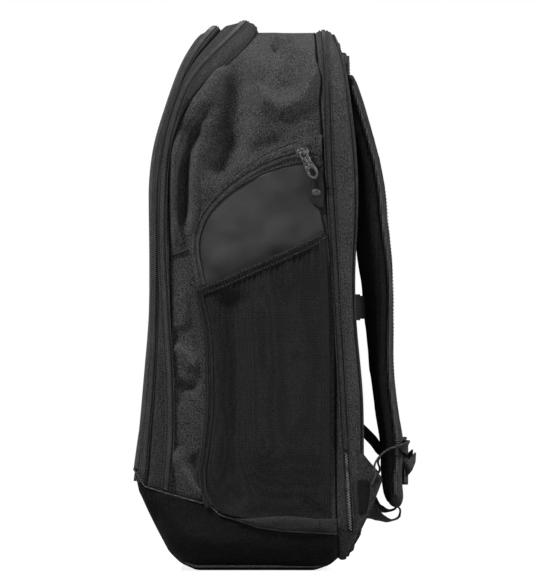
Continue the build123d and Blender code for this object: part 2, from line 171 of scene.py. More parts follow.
def near(y, z, line):
    """Distance to a line of (Y, Z) points, and the share of the line where it is nearest."""
    line = np.asarray(line, float)
    runs = np.linalg.norm(np.diff(line, axis=0), axis=1)
    total = runs.sum()
    best = np.full(np.shape(y), 1e9)
    where = np.zeros(np.shape(y))
    done = 0.0
    for (ay, az), (by, bz), run in zip(line[:-1], line[1:], runs):
        t = np.clip(((y - ay) * (by - ay) + (z - az) * (bz - az)) / run**2, 0, 1)
        d = np.hypot(y - ay - t * (by - ay), z - az - t * (bz - az))
        closer = d < best
        best = np.where(closer, d, best)
        where = np.where(closer, (done + t * run) / total, where)
        done += run
    return best, where


def fold(y, z, line, width, height, fade=0.2):
    """A ridge, or with a negative height a valley, that dies away at its ends."""
    d, t = near(y, z, line)
    return height * np.exp(-(d / width) ** 2) * smooth(t / fade) * smooth((1 - t) / fade)


# Building meshes ------------------------------------------------------------
def mesh_object(name, points, faces, uvs=None, outward_from=None):
    """An object from points in millimetres. Faces turn outwards from a point, if one is given."""
    points = np.asarray(points, float)
    mesh = bpy.data.meshes.new(name)
    mesh.from_pydata((points * MM).tolist(), [], faces)
    mesh.update()
    if uvs is not None:
        layer = mesh.uv_layers.new(name="UVMap")
        index = np.empty(len(mesh.loops), int)
        mesh.loops.foreach_get("vertex_index", index)
        layer.data.foreach_set("uv", (np.asarray(uvs, float) * MM)[index].ravel())
    if outward_from is not None:
        normal = np.array([p.normal for p in mesh.polygons])
        middle = np.array([p.center for p in mesh.polygons])
        area = np.array([p.area for p in mesh.polygons])
        away = (normal * (middle - np.asarray(outward_from) * MM)).sum(1)
        if (away * area).sum() < 0:
            mesh.flip_normals()
    mesh.polygons.foreach_set("use_smooth", np.ones(len(mesh.polygons), bool))
    made = bpy.data.objects.new(name, mesh)
    bpy.context.scene.collection.objects.link(made)
    return made


def grid_faces(rows, columns, close_rows=False, close_columns=False, start=0):
    faces = []
    for i in range(rows if close_rows else rows - 1):
        for j in range(columns if close_columns else columns - 1):
            a = start + i * columns + j
            b = start + i * columns + (j + 1) % columns
            c = start + ((i + 1) % rows) * columns + (j + 1) % columns
            d = start + ((i + 1) % rows) * columns + j
            faces.append((a, b, c, d))
    return faces


def grid_object(name, grid, uv=None, outward_from=None, **closed):
    rows, columns = grid.shape[:2]
    uvs = None if uv is None else np.asarray(uv).reshape(-1, 2)
    return mesh_object(name, grid.reshape(-1, 3), grid_faces(rows, columns, **closed), uvs, outward_from)


def upright(flat, x=0.0):
    """A grid of (Y, Z) points stood up at X."""
    return np.concatenate([np.full(flat.shape[:2] + (1,), x), flat], axis=2)


def grid_uv(grid):
    """Lengths along and across a grid, so that a weave keeps its size."""
    along = np.linalg.norm(np.diff(grid, axis=0), axis=2)
    across = np.linalg.norm(np.diff(grid, axis=1), axis=2)
    v = np.vstack([np.zeros(grid.shape[1]), np.cumsum(along, axis=0)])
    u = np.hstack([np.zeros((grid.shape[0], 1)), np.cumsum(across, axis=1)])
    return np.stack([u, v], axis=2)


def modifier(piece, kind, **settings):
    made = piece.modifiers.new(kind.title(), kind)
    for key, value in settings.items():
        setattr(made, key, value)
    return made


def settle(piece):
    """Applies a piece's modifiers."""
    graph = bpy.context.evaluated_depsgraph_get()
    graph.update()
    mesh = bpy.data.meshes.new_from_object(piece.evaluated_get(graph))
    piece.modifiers.clear()
    piece.data = mesh
    mesh.polygons.foreach_set("use_smooth", np.ones(len(mesh.polygons), bool))
    return piece


def joined(name, pieces):
    """One object from several, each with its own vertices."""
    points = []
    faces = []
    start = 0
    for piece in pieces:
        mesh = piece.data
        co = np.empty(len(mesh.vertices) * 3)
        mesh.vertices.foreach_get("co", co)
        points.append(co.reshape(-1, 3) / MM)
        faces.extend([tuple(start + v for v in p.vertices) for p in mesh.polygons])
        start += len(mesh.vertices)
        bpy.data.objects.remove(piece)
    return mesh_object(name, np.vstack(points), faces)


def finish_piece(piece, body, paint, replaces=(), solid=0.0, offset=-1.0, ride=True):
    """Material, thickness, the body it rides on and the CAD nodes that it stands for."""
    piece.data.materials.clear()
    piece.data.materials.append(paint)
    if solid:
        modifier(piece, "SOLIDIFY", thickness=solid * MM, offset=offset)
        settle(piece)
        piece.data.materials.clear()
        piece.data.materials.append(paint)
    if ride:
        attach(piece, body)
    if replaces:
        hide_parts(*replaces)
    return piece


# Materials ------------------------------------------------------------
class Tree:
    """A short way to write a node tree."""

    def __init__(self, name):
        self.material = bpy.data.materials.new(name)
        self.material.use_nodes = True
        self.links = self.material.node_tree.links
        self.shader = self.material.node_tree.nodes["Principled BSDF"]
        self.place = self.add("ShaderNodeTexCoord").outputs["Object"]

    def add(self, kind, **settings):
        made = self.material.node_tree.nodes.new(kind)
        for key, value in settings.items():
            setattr(made, key, value)
        return made

    def math(self, operation, a, b):
        made = self.add("ShaderNodeMath", operation=operation)
        for socket, value in zip(made.inputs, (a, b)):
            if isinstance(value, (int, float)):
                socket.default_value = value
            else:
                self.links.new(value, socket)
        return made.outputs[0]

    def noise(self, size_mm, detail=2.0, roughness=0.6):
        made = self.add("ShaderNodeTexNoise")
        made.inputs["Scale"].default_value = 1000 / size_mm
        made.inputs["Detail"].default_value = detail
        made.inputs["Roughness"].default_value = roughness
        self.links.new(self.place, made.inputs["Vector"])
        return made.outputs["Fac"]

    def waves(self, size_mm, directions="XYZ", distortion=0.6):
        """Threads along each axis, added up, so that any flat side shows two of them crossing."""
        total = None
        for direction in directions:
            made = self.add("ShaderNodeTexWave", bands_direction=direction)
            made.inputs["Scale"].default_value = 1000 / size_mm / 6.2832 * 2
            made.inputs["Distortion"].default_value = distortion
            made.inputs["Detail"].default_value = 1.0
            self.links.new(self.place, made.inputs["Vector"])
            out = made.outputs["Fac"]
            total = out if total is None else self.math("ADD", total, out)
        return total

    def ramp(self, fac, dark, light, low=0.35, high=0.65):
        made = self.add("ShaderNodeValToRGB")
        made.color_ramp.elements[0].position = low
        made.color_ramp.elements[0].color = (dark, dark, dark * 1.02, 1)
        made.color_ramp.elements[1].position = high
        made.color_ramp.elements[1].color = (light, light, light * 1.02, 1)
        self.links.new(fac, made.inputs["Fac"])
        return made.outputs["Color"]

    def bump(self, heights):
        """Bumps one on another: pairs of a height and its depth in millimetres."""
        last = None
        for height, depth in heights:
            made = self.add("ShaderNodeBump")
            made.inputs["Strength"].default_value = 1.0
            made.inputs["Distance"].default_value = depth * MM
            self.links.new(height, made.inputs["Height"])
            if last is not None:
                self.links.new(last, made.inputs["Normal"])
            last = made.outputs["Normal"]
        self.links.new(last, self.shader.inputs["Normal"])

    def gloss(self, fac, low, high):
        made = self.add("ShaderNodeMapRange")
        made.inputs["To Min"].default_value = low
        made.inputs["To Max"].default_value = high
        self.links.new(fac, made.inputs["Value"])
        self.links.new(made.outputs["Result"], self.shader.inputs["Roughness"])


def cloth(name, dark, light, grain, thread, rough=(0.7, 0.9), depth=0.25, sheen=0.15, specular=0.1):
    """Woven cloth: heathered yarn, worn patches, crossing threads and fuzz."""
    tree = Tree(name)
    yarn = tree.noise(grain, 3.0, 0.75)
    patches = tree.noise(38, 3.0)
    mixed = tree.math("ADD", tree.math("MULTIPLY", yarn, 0.9), tree.math("MULTIPLY", patches, 0.1))
    tree.links.new(tree.ramp(mixed, dark, light, 0.41, 0.63), tree.shader.inputs["Base Color"])
    tree.gloss(yarn, *rough)
    tree.bump([(tree.waves(thread), depth), (yarn, depth * 1.5), (tree.noise(14, 2.0), 0.5)])
    tree.shader.inputs["Sheen Weight"].default_value = sheen
    tree.shader.inputs["Sheen Roughness"].default_value = 0.5
    tree.shader.inputs["Specular IOR Level"].default_value = specular
    return tree.material


def knit(name, dark, light, cell):
    """Knit mesh: rows of small round holes with vertical ribs."""
    tree = Tree(name)
    holes = tree.add("ShaderNodeTexVoronoi", feature="F1")
    holes.inputs["Scale"].default_value = 1000 / cell
    holes.inputs["Randomness"].default_value = 0.35
    tree.links.new(tree.place, holes.inputs["Vector"])
    ribs = tree.waves(1.9, "XYZ", 0.5)
    spots = tree.noise(1.6, 3.0, 0.7)
    mixed = tree.math("ADD", tree.math("MULTIPLY", holes.outputs["Distance"], 0.45),
                      tree.math("MULTIPLY", spots, 0.65))
    tree.links.new(tree.ramp(mixed, dark, light, 0.3, 0.75), tree.shader.inputs["Base Color"])
    tree.gloss(spots, 0.6, 0.85)
    tree.bump([(ribs, 0.12), (holes.outputs["Distance"], 0.4), (spots, 0.3)])
    tree.shader.inputs["Specular IOR Level"].default_value = 0.06
    return tree.material


def coated(name, dark, light):
    """Smooth coated cloth with soft creases and a satin gloss."""
    tree = Tree(name)
    clouds = tree.noise(46, 2.0)
    tree.links.new(tree.ramp(clouds, dark, light, 0.3, 0.7), tree.shader.inputs["Base Color"])
    tree.gloss(tree.noise(9, 2.0), 0.42, 0.56)
    tree.bump([(tree.waves(0.7), 0.04), (tree.noise(22, 2.0), 0.5)])
    tree.shader.inputs["Specular IOR Level"].default_value = 0.25
    return tree.material


def webbing_cloth(name, dark, light):
    """Ribbed webbing."""
    tree = Tree(name)
    ribs = tree.waves(2.2, "XYZ", 0.2)
    fuzz = tree.noise(0.8, 2.0)
    tree.links.new(tree.ramp(fuzz, dark, light), tree.shader.inputs["Base Color"])
    tree.gloss(fuzz, 0.5, 0.75)
    tree.bump([(ribs, 0.35), (fuzz, 0.12)])
    tree.shader.inputs["Specular IOR Level"].default_value = 0.4
    return tree.material


def moulded(name, dark, light, rough):
    """Moulded plastic with a fine spark texture and scuffs."""
    tree = Tree(name)
    scuffs = tree.noise(7, 4.0, 0.7)
    tree.links.new(tree.ramp(scuffs, dark, light), tree.shader.inputs["Base Color"])
    tree.gloss(scuffs, *rough)
    tree.bump([(tree.noise(0.5, 1.0), 0.05)])
    return tree.material


def lacquer(name, dark, light):
    """Black lacquered metal with a painted highlight: its colour turns lighter where noise and convex edges
    meet.
    """
    tree = Tree(name)
    edges = tree.add("ShaderNodeNewGeometry").outputs["Pointiness"]
    # Painted highlight: the base colour is lighter on convex edges (pointiness), broken up by noise
    painted_edge_highlight = tree.math("ADD", tree.math("MULTIPLY", tree.noise(1.5, 4.0, 0.7), 0.35), edges)
    tree.links.new(tree.ramp(painted_edge_highlight, dark, light, 0.68, 0.86), tree.shader.inputs["Base Color"])
    tree.gloss(tree.noise(3.0, 2.0), 0.22, 0.4)
    tree.bump([(tree.noise(1.2, 2.0), 0.03)])
    tree.shader.inputs["Metallic"].default_value = 0.3
    return tree.material


HEATHER = cloth("heather_fabric", 0.002, 0.074, 1.25, 0.8, sheen=0.06)
BAND = cloth("band_fabric", 0.002, 0.05, 1.15, 0.8, sheen=0.05)
BOOT = cloth("boot_fabric", 0.001, 0.012, 1.2, 0.6, rough=(0.55, 0.75), depth=0.16, sheen=0.0, specular=0.06)
KNIT = knit("pocket_mesh", 0.001, 0.019, 1.4)
ELASTIC = cloth("hem_elastic", 0.002, 0.022, 1.0, 1.4, sheen=0.03)
COATED = coated("coated_fabric", 0.012, 0.028)
COIL = moulded("zip_coil", 0.015, 0.05, (0.35, 0.6))
COIL_WORN = moulded("zip_coil_bright", 0.02, 0.2, (0.3, 0.5))
SOLE = webbing_cloth("sole_piping", 0.03, 0.11)
COIL_LIGHT = moulded("zip_coil_worn", 0.005, 0.03, (0.45, 0.7))
TAPE = cloth("zip_tape", 0.005, 0.032, 0.9, 0.7, sheen=0.03)
THREAD = webbing_cloth("thread", 0.012, 0.05)
METAL = lacquer("slider_metal", 0.006, 0.16)
PULL_METAL = lacquer("puller_metal", 0.006, 0.16)
RACKET = cloth("racket_fabric", 0.003, 0.066, 1.25, 0.8, sheen=0.05)
LINING = cloth("lining", 0.04, 0.08, 0.8, 0.5)
SHEET = moulded("stiffener_sheet", 0.08, 0.12, (0.5, 0.7))
SPACER = knit("spacer_mesh", 0.002, 0.03, 3.2)
STRAP = knit("strap_fabric", 0.005, 0.05, 1.6)
PLASTIC = moulded("moulded_plastic", 0.004, 0.012, (0.4, 0.6))
LABEL = cloth("label", 0.004, 0.012, 0.6, 0.4, sheen=0.0)
WEBBING = webbing_cloth("webbing", 0.005, 0.026)
TAIL = webbing_cloth("webbing_tail", 0.002, 0.008)
PIPING = webbing_cloth("piping", 0.012, 0.05)
SOFT_STRIP = cloth("edge_strip", 0.008, 0.036, 1.0, 0.6, sheen=0.03)

for name, paint in (("compartment_divider", LINING), ("laptop_sleeve", LINING), ("front_pocket_wall", LINING),
                    ("base_board", SHEET), ("frame_sheet", SHEET), ("buckle_female", PLASTIC),
                    ("buckle_male", PLASTIC), ("rail_clip_left", PLASTIC), ("rail_clip_right", PLASTIC),
                    ("ladder_lock_left", PLASTIC), ("ladder_lock_right", PLASTIC)):
    nodes[name].data.materials.clear()
    nodes[name].data.materials.append(paint)


# Driving lines of the bag, read from the frame ------------------------------------------
HALF = box("main_gusset")[1][0]
CROWN = box("main_gusset")[1][2]
CORNER = 98.0
MIDDLE = np.array([0.0, 0.0, 250.0])

front_low, front_high = seam_pair("front_zip_band", 112)
main_low, main_high = seam_pair("main_zip_band", 96)
gusset_low, gusset_high = seam_pair("main_gusset", 82)
racket_low, racket_high = seam_pair("racket_band", 34)
face_low, _ = seam_pair("front_panel", 106)
_, back_high = seam_pair("back_panel", 30)


def boot_line(pick):
    """Top or bottom of the boot: Z as a function of Y."""
    low, high = box("base_boot")
    rows = []
    for y in np.linspace(low[1] + 0.6, high[1] - 0.6, 60):
        z = cut("base_boot", 1, y)[:, 2]
        rows.append((y, pick(z)))
    return curve(*np.array(rows).T)


boot_top = boot_line(np.max)
boot_under = boot_line(np.min)


def arch_path(half, crown, corner, low, step=3.0):
    """Up the right side, over the crown and down the left.

    Gives X, Z, the outward direction and the share of the way down each side."""
    rise = crown - corner
    count = max(int((rise - low) / step), 4)
    t = np.linspace(0, 1, count, endpoint=False)
    turn = np.linspace(0, math.pi / 2, int(corner * 1.57 / step), endpoint=False)
    flat = np.linspace(half - corner, corner - half, int(2 * (half - corner) / step) + 1)
    x = np.concatenate([np.full(count, half), half - corner + corner * np.cos(turn), flat])
    z = np.concatenate([low + t * (rise - low), rise + corner * np.sin(turn), np.full(len(flat), crown)])
    nx = np.concatenate([np.ones(count), np.cos(turn), np.zeros(len(flat))])
    nz = np.concatenate([np.zeros(count), np.sin(turn), np.ones(len(flat))])
    sink = np.concatenate([1 - t, np.zeros(len(turn) + len(flat))])
    back = slice(count + len(turn) - 1, None, -1)
    x = np.concatenate([x, -x[back]])
    z = np.concatenate([z, z[back]])
    nx = np.concatenate([nx, -nx[back]])
    nz = np.concatenate([nz, nz[back]])
    sink = np.concatenate([sink, sink[back]])
    return x, z, nx, nz, sink


SKIRT_DEPTH = 7.0
SKIRT_REACH = 3.0
FOOT_TUCK = 3.0


def band_grid(front, rear, half, crown, corner, lift, columns, step=3.0, under=4.0):
    """Points of a band between two seams, over the arch, down to just under the boot's top edge."""
    reference = 100.0
    x, z, nx, nz, sink = arch_path(half, crown, corner, reference, step)
    v = np.linspace(0, 1, columns)
    foot = boot_top(front(reference) * (1 - v) + rear(reference) * v) - under
    zz = z[:, None] + sink[:, None] * (foot - reference)[None, :]
    yy = front(zz) * (1 - v) + rear(zz) * v
    xx = np.repeat(x[:, None], columns, axis=1)
    plain = np.stack([xx, yy, zz], axis=2)
    clear = smooth((zz - foot[None, :]) / 12)
    rise = lift(v[None, :], plain) * clear - FOOT_TUCK * (1 - clear)
    outward = np.stack([nx, 0 * nx, nz], axis=1)[:, None, :]
    grid = plain + outward * rise[..., None]
    first = grid[:, :1] - outward * SKIRT_DEPTH - np.array([0, SKIRT_REACH, 0])
    last = grid[:, -1:] - outward * SKIRT_DEPTH + np.array([0, SKIRT_REACH, 0])
    return np.concatenate([first, grid, last], axis=1)


def roll(height, power=2.4, tuck=1.6):
    """A soft roll across a band, with both seams drawn in."""
    def lift(v, points):
        crown = 1 - np.abs(2 * v - 1) ** power
        seam = np.exp(-(np.minimum(v, 1 - v) / 0.06) ** 2)
        crumple = 0.5 * noise(points, (24, 10, 30), 3) + 0.25 * noise(points, 9, 4)
        slider_side = smooth(-points[..., 0] / 40)
        crumple = crumple * (1 - slider_side) - 0.6 * slider_side
        return height * crown - tuck * seam + crumple * crown
    return lift


# Folds of the big side panel, in Y and Z ------------------------------------------------
FOLD_WIDTH = 1.15
FOLD_HEIGHT = 3.0
FOLDS = (
    ([(-23, 480), (-19, 457), (-23, 428), (-34, 390), (-50, 362)], 13, -4.6),
    ([(-13, 498), (-8, 457), (4, 442), (19, 436), (38, 445), (52, 470), (55, 486)], 7.5, 3.6),
    ([(19, 500), (16, 470), (21, 450)], 9, -1.6),
    ([(-34, 480), (-55, 442), (-63, 412)], 8, 2.6),
    ([(-46, 448), (-61, 420), (-73, 380), (-75, 317)], 5.5, -3.6),
    ([(-78, 420), (-82, 390), (-82, 342), (-80, 300)], 4.0, 2.6),
    ([(-66, 410), (-65, 352), (-66, 310)], 4.5, 2.2),
    ([(9, 494), (19, 503), (31, 505)], 3.2, -2.4),
    ([(6, 503), (18, 510), (33, 510)], 3.0, 1.6),
    ([(-86, 214), (-74, 204), (-62, 190)], 4.6, 4.0),
    ([(-84, 232), (-80, 214), (-84, 196)], 5.0, -2.0),
    ([(-85, 180), (-73, 172), (-58, 176)], 4.0, -3.6),
    ([(-80, 160), (-74, 140), (-78, 118)], 5.0, 1.8),
    ([(-84, 118), (-78, 98), (-66, 80), (-56, 68)], 5.0, 4.4),
    ([(-66, 112), (-60, 92), (-54, 76)], 4.0, -2.6),
    ([(-80, 262), (-74, 244), (-78, 226)], 5.0, 1.6),
    ([(-38, 410), (-10, 396), (28, 408)], 7, -1.4),
)


ZIP_Y = 64.0
ZIP_Z = 250.0
ZIP_RADIUS = 147.0
PANEL_RADIUS = ZIP_RADIUS - 10.0
PANEL_SINK = 1.2


def side_lift(v, points):
    """Folds, sag and crumple of the side panel, and its tucked seams."""
    y = points[..., 1]
    z = points[..., 2]
    mirror = np.where(points[..., 0] >= 0, 1.0, 0.8)
    shifted = z + np.where(points[..., 0] >= 0, 0.0, 9.0)
    total = 0.0
    for line, width, height in FOLDS:
        total = total + fold(y, shifted, line, width * FOLD_WIDTH, height * FOLD_HEIGHT) * mirror
    total = total * (1 - smooth((z - 500) / 9))
    upper = smooth((z - 300) / 60)
    strip = smooth((-48 - y) / 12) * smooth((300 - z) / 40)
    total = total * (1 - 0.5 * strip)
    crumple = 0.9 * noise(points, (60, 26, 48), 7) + 0.4 * noise(points, (24, 11, 20), 8)
    creases = 1.6 * np.abs(noise(points, (40, 16, 22), 9)) + 0.5 * noise(points, (12, 7, 9), 10)
    seam = np.exp(-(np.minimum(v, 1 - v) / 0.015) ** 2)
    behind_pocket = smooth((y + 50) / 8) * smooth((262 - z) / 20)
    rise = total + crumple * (0.5 + 0.9 * upper) + creases * strip - 1.2 * seam
    crown_sag = 0.8 * smooth((z - 500) / 8) * np.cos(points[..., 0] / 60)
    rise = rise * (1 - 0.85 * behind_pocket) - crown_sag
    inside_zip = smooth((PANEL_RADIUS - np.hypot(y - ZIP_Y, z - ZIP_Z)) / 8)
    return rise * (1 - inside_zip) - PANEL_SINK * inside_zip


# Shell ------------------------------------------------------------
FRONT_HALF = box("front_zip_band")[1][0]
FRONT_CROWN = box("front_zip_band")[1][2]
MAIN_HALF = box("main_zip_band")[1][0]
MAIN_CROWN = box("main_zip_band")[1][2]
RACKET_HALF = box("racket_band")[1][0]
RACKET_CROWN = box("racket_band")[1][2]
RACKET_LOW = box("racket_band")[0][2]

grid = band_grid(front_low, front_high, FRONT_HALF, FRONT_CROWN, CORNER, roll(2.2), 15)
front_edges = (grid[:, 1], grid[:, -2])
finish_piece(grid_object("front_roll", grid, grid_uv(grid), MIDDLE), "bag", BAND,
             ["front_zip_band"], solid=1.6)
grid = band_grid(main_low, main_high, MAIN_HALF, MAIN_CROWN, CORNER + 5, roll(2.6), 19)
main_edges = (grid[:, 1], grid[:, -2])
finish_piece(grid_object("main_roll", grid, grid_uv(grid), MIDDLE), "bag", BAND,
             ["main_zip_band"], solid=1.6)
grid = band_grid(gusset_low, gusset_high, HALF, CROWN, CORNER, side_lift, 96, 2.4)
gusset_edges = (grid[:, 1], grid[:, -2])
gusset = grid_object("side_gusset", grid, grid_uv(grid), MIDDLE)
finish_piece(gusset, "bag", HEATHER, ["main_gusset"], solid=1.6)


def bridge(name, first, last, tuck, count=420):
    """A strip of cloth from one shell's edge to the next one's, tucked in along its middle."""
    first = spline(first[::3], count)
    last = spline(last[::3], count)
    t = np.linspace(0, 1, 7)[None, :, None]
    grid = first[:, None, :] * (1 - t) + last[:, None, :] * t
    inward = unit(np.array([0, 0, 250.0]) - grid) * np.array([1, 0, 1])
    grid = grid + inward * (tuck * 4 * t * (1 - t))
    finish_piece(grid_object(name, grid, grid_uv(grid), MIDDLE), "bag", BAND, solid=1.2)


bridge("front_valley", front_edges[1], main_edges[0], 1.5)
bridge("main_valley", main_edges[1], gusset_edges[0], 1.5)


def panel_grid(face, seam, half, crown, corner, low, rim, swell, seed, foot=0.0, columns=70, rows=130):
    """A front or back panel with a rounded rim that meets a seam line."""
    z = low + (crown - low) * np.linspace(0, 1, rows)[:, None]
    over = np.clip(z - (crown - corner), 0, corner)
    width = half - corner + np.sqrt(np.maximum(corner**2 - over**2, 0))
    under = np.clip(low + foot - z, 0, foot)
    width = width - foot + np.sqrt(np.maximum(foot**2 - under**2, 0))
    u = np.linspace(-1, 1, columns)[None, :]
    u = np.sign(u) * np.abs(u) ** 0.85
    x = u * width
    zz = np.repeat(z, columns, axis=1)
    from_side = half - np.abs(x)
    from_top = crown - zz
    cx = np.maximum(np.abs(x) - (half - corner), 0)
    cz = np.maximum(zz - (crown - corner), 0)
    in_corner = (cx > 0) & (cz > 0)
    d = np.where(in_corner, corner - np.hypot(cx, cz), np.minimum(from_side, from_top))
    if foot:
        d = np.minimum(d, np.minimum(width - np.abs(x), zz - low))
    q = np.clip(d / rim, 0, 1)
    rounded = np.sqrt(np.maximum(1 - (1 - q) ** 2, 0))
    points = np.stack([x, 0 * x, zz], axis=2)
    wave = 1.1 * noise(points, (70, 50, 90), seed) + 0.5 * noise(points, (26, 20, 40), seed + 1)
    middle = smooth(d / 60)
    swollen = (swell * middle + wave * smooth(d / 25)) * np.sign(seam(200))
    y = seam(zz) + (face(zz) - seam(zz)) * rounded + swollen
    return np.stack([x, y, zz], axis=2)


front = panel_grid(face_low, front_low, FRONT_HALF, FRONT_CROWN - 1.5, CORNER, 96.0, 9.0, 1.2, 21)
finish_piece(grid_object("front_face", front, grid_uv(front), MIDDLE), "bag", HEATHER,
             ["front_panel"], solid=1.6)
FOOT_PULL = 9.0


def back_seam(z):
    """The racket band's rear seam, drawn forward at its foot."""
    return racket_high(z) - FOOT_PULL * (1 - smooth((z - RACKET_LOW) / 26))


back = panel_grid(back_high, back_seam, RACKET_HALF - 6, RACKET_CROWN - 6, CORNER - 6, RACKET_LOW + 3.0,
                  8.0, 0.0, 31, foot=34.0)
finish_piece(grid_object("back_face", back, grid_uv(back), MIDDLE), "bag", SPACER,
             ["back_panel"], solid=1.6)


def loop_path(half, crown, corner, foot, foot_corner, step=3.0):
    """The whole way round the racket compartment, from the middle of its foot."""
    def arc(cx, cz, radius, start, count):
        turn = np.linspace(start, start + math.pi / 2, count, endpoint=False)
        c = np.cos(turn)
        s = np.sin(turn)
        return np.stack([cx + radius * c, cz + radius * s, c, s], 1)

    def run(a, b, normal):
        count = max(int(np.hypot(*(np.subtract(b, a))) / step), 2)
        t = np.linspace(0, 1, count, endpoint=False)[:, None]
        line = np.asarray(a) + t * (np.asarray(b) - np.asarray(a))
        return np.hstack([line, np.repeat([normal], count, axis=0)])

    f = half - foot_corner
    c = half - corner
    bends = int(foot_corner * 1.57 / step)
    tops = int(corner * 1.57 / step)
    return np.vstack([
        run((0, foot), (f, foot), (0, -1)),
        arc(f, foot + foot_corner, foot_corner, -math.pi / 2, bends),
        run((half, foot + foot_corner), (half, crown - corner), (1, 0)),
        arc(c, crown - corner, corner, 0, tops),
        run((c, crown), (-c, crown), (0, 1)),
        arc(-c, crown - corner, corner, math.pi / 2, tops),
        run((-half, crown - corner), (-half, foot + foot_corner), (-1, 0)),
        arc(-f, foot + foot_corner, foot_corner, math.pi, bends),
        run((-f, foot), (0, foot), (0, -1)),
    ])


RACKET_FOOT = box("racket_band")[0][2]
FOOT_CORNER = 38.0
racket_path = loop_path(RACKET_HALF, RACKET_CROWN, CORNER, RACKET_FOOT, FOOT_CORNER)
v = np.linspace(0, 1, 17)
z = racket_path[:, 1:2]
foot_pull = 9 * (1 - smooth((z - RACKET_FOOT) / 26))
racket_y = racket_low(z) * (1 - v) + (racket_high(z) - foot_pull) * v
plain = np.stack([np.repeat(racket_path[:, :1], 17, 1), racket_y, np.repeat(z, 17, 1)], axis=2)
rear_drop = 3.2 * smooth((v - 0.86) / 0.14)
crown_lift = 2.4 * (1 - np.abs(2 * v - 1) ** 3) - 1.2 * np.exp(-(v / 0.05) ** 2) - rear_drop
crumple = 0.5 * noise(plain, (24, 12, 30), 13) + 0.25 * noise(plain, 9, 14)
slider_side = smooth(-plain[..., 0] / 40)
crumple = crumple * (1 - slider_side) - 0.6 * slider_side
rise = crown_lift[None, :] + crumple * (1 - np.abs(2 * v - 1) ** 4)[None, :]
grid = plain + np.stack([racket_path[:, 2:3] * rise, 0 * rise, racket_path[:, 3:4] * rise], axis=2)
racket_roll = grid_object("racket_roll", grid, grid_uv(grid), MIDDLE, close_rows=True)
finish_piece(racket_roll, "bag", RACKET, ["racket_band"], solid=1.6)


# Boot ---------------------------------------------------------------------------------------------
BOOT_HALF = box("base_boot")[1][0]
BOOT_FRONT = box("base_boot")[0][1]
BOOT_REAR = box("base_boot")[1][1]
BOOT_NOSE = BOOT_FRONT + 3.0


def boot_half(y):
    """Half the boot's width at Y, rounded towards its front and back."""
    front_tuck = 4.5 * (1 - smooth((y - BOOT_FRONT) / 22)) ** 2
    rear_tuck = 4.0 * smooth((y - BOOT_REAR + 6) / 6) ** 2
    return BOOT_HALF - front_tuck - rear_tuck


def boot_grid(columns=90, rows=70):
    ys = BOOT_NOSE + (BOOT_REAR - BOOT_NOSE - 0.3) * smooth(np.linspace(0, 1, rows)) ** 0.9
    grid = []
    for y in ys:
        top = boot_top(y)
        under = max(boot_under(y), 0.0)
        half = boot_half(y)
        radius = max(min(FOOT_CORNER, top - under - 1.5), 1.0)
        turn = np.linspace(0, math.pi / 2, 16)
        side = np.linspace(top, under + radius, 14, endpoint=False)
        flat = np.linspace(half - radius, radius - half, 24)[1:-1]
        x = np.concatenate([np.full(14, half), half - radius + radius * np.cos(turn), flat])
        z = np.concatenate([side, under + radius - radius * np.sin(turn), np.full(len(flat), under)])
        x = np.concatenate([x, -x[29::-1]])
        z = np.concatenate([z, z[29::-1]])
        grid.append(np.stack([x, np.full(len(x), y), z], axis=1))
    grid = np.array(grid)
    bulge = 1.4 * noise(grid, (60, 40, 26), 41) + 0.5 * noise(grid, (22, 16, 12), 42)
    side_share = smooth((np.abs(grid[..., 0]) - 100) / 40) * smooth((grid[..., 2] - 4) / 12)
    grid[..., 0] += np.sign(grid[..., 0]) * bulge * side_share
    front_share = smooth((-70 - grid[..., 1]) / 20) * smooth((grid[..., 2] - 8) / 20)
    grid[..., 1] -= np.maximum(bulge, -0.5) * front_share * 0.8
    return grid


boot = boot_grid()
finish_piece(grid_object("boot", boot, grid_uv(boot), np.array([0, -20, 60])), "bag", BOOT,
             ["base_boot"], solid=2.4)


# Tubes, ribbons, teeth and stitches -----------------------------------------------------
def tube(name, path, radius, sides=8, closed=False, taper=None):
    """A round tube along a path."""
    path = np.asarray(path, float)
    tangent = unit(np.gradient(path, axis=0))
    first = unit(np.cross(tangent, np.array([0.31, 0.17, 0.93])))
    second = np.cross(tangent, first)
    turn = np.linspace(0, 2 * math.pi, sides, endpoint=False)
    size = radius * (np.ones(len(path)) if taper is None else taper)
    ring = (first[:, None, :] * np.cos(turn)[None, :, None]
            + second[:, None, :] * np.sin(turn)[None, :, None])
    grid = path[:, None, :] + ring * size[:, None, None]
    rows, columns = grid.shape[:2]
    faces = grid_faces(rows, columns, close_columns=True, close_rows=closed)
    if not closed:
        faces.append(tuple(range(columns - 1, -1, -1)))
        faces.append(tuple((rows - 1) * columns + k for k in range(columns)))
    return mesh_object(name, grid.reshape(-1, 3), faces)


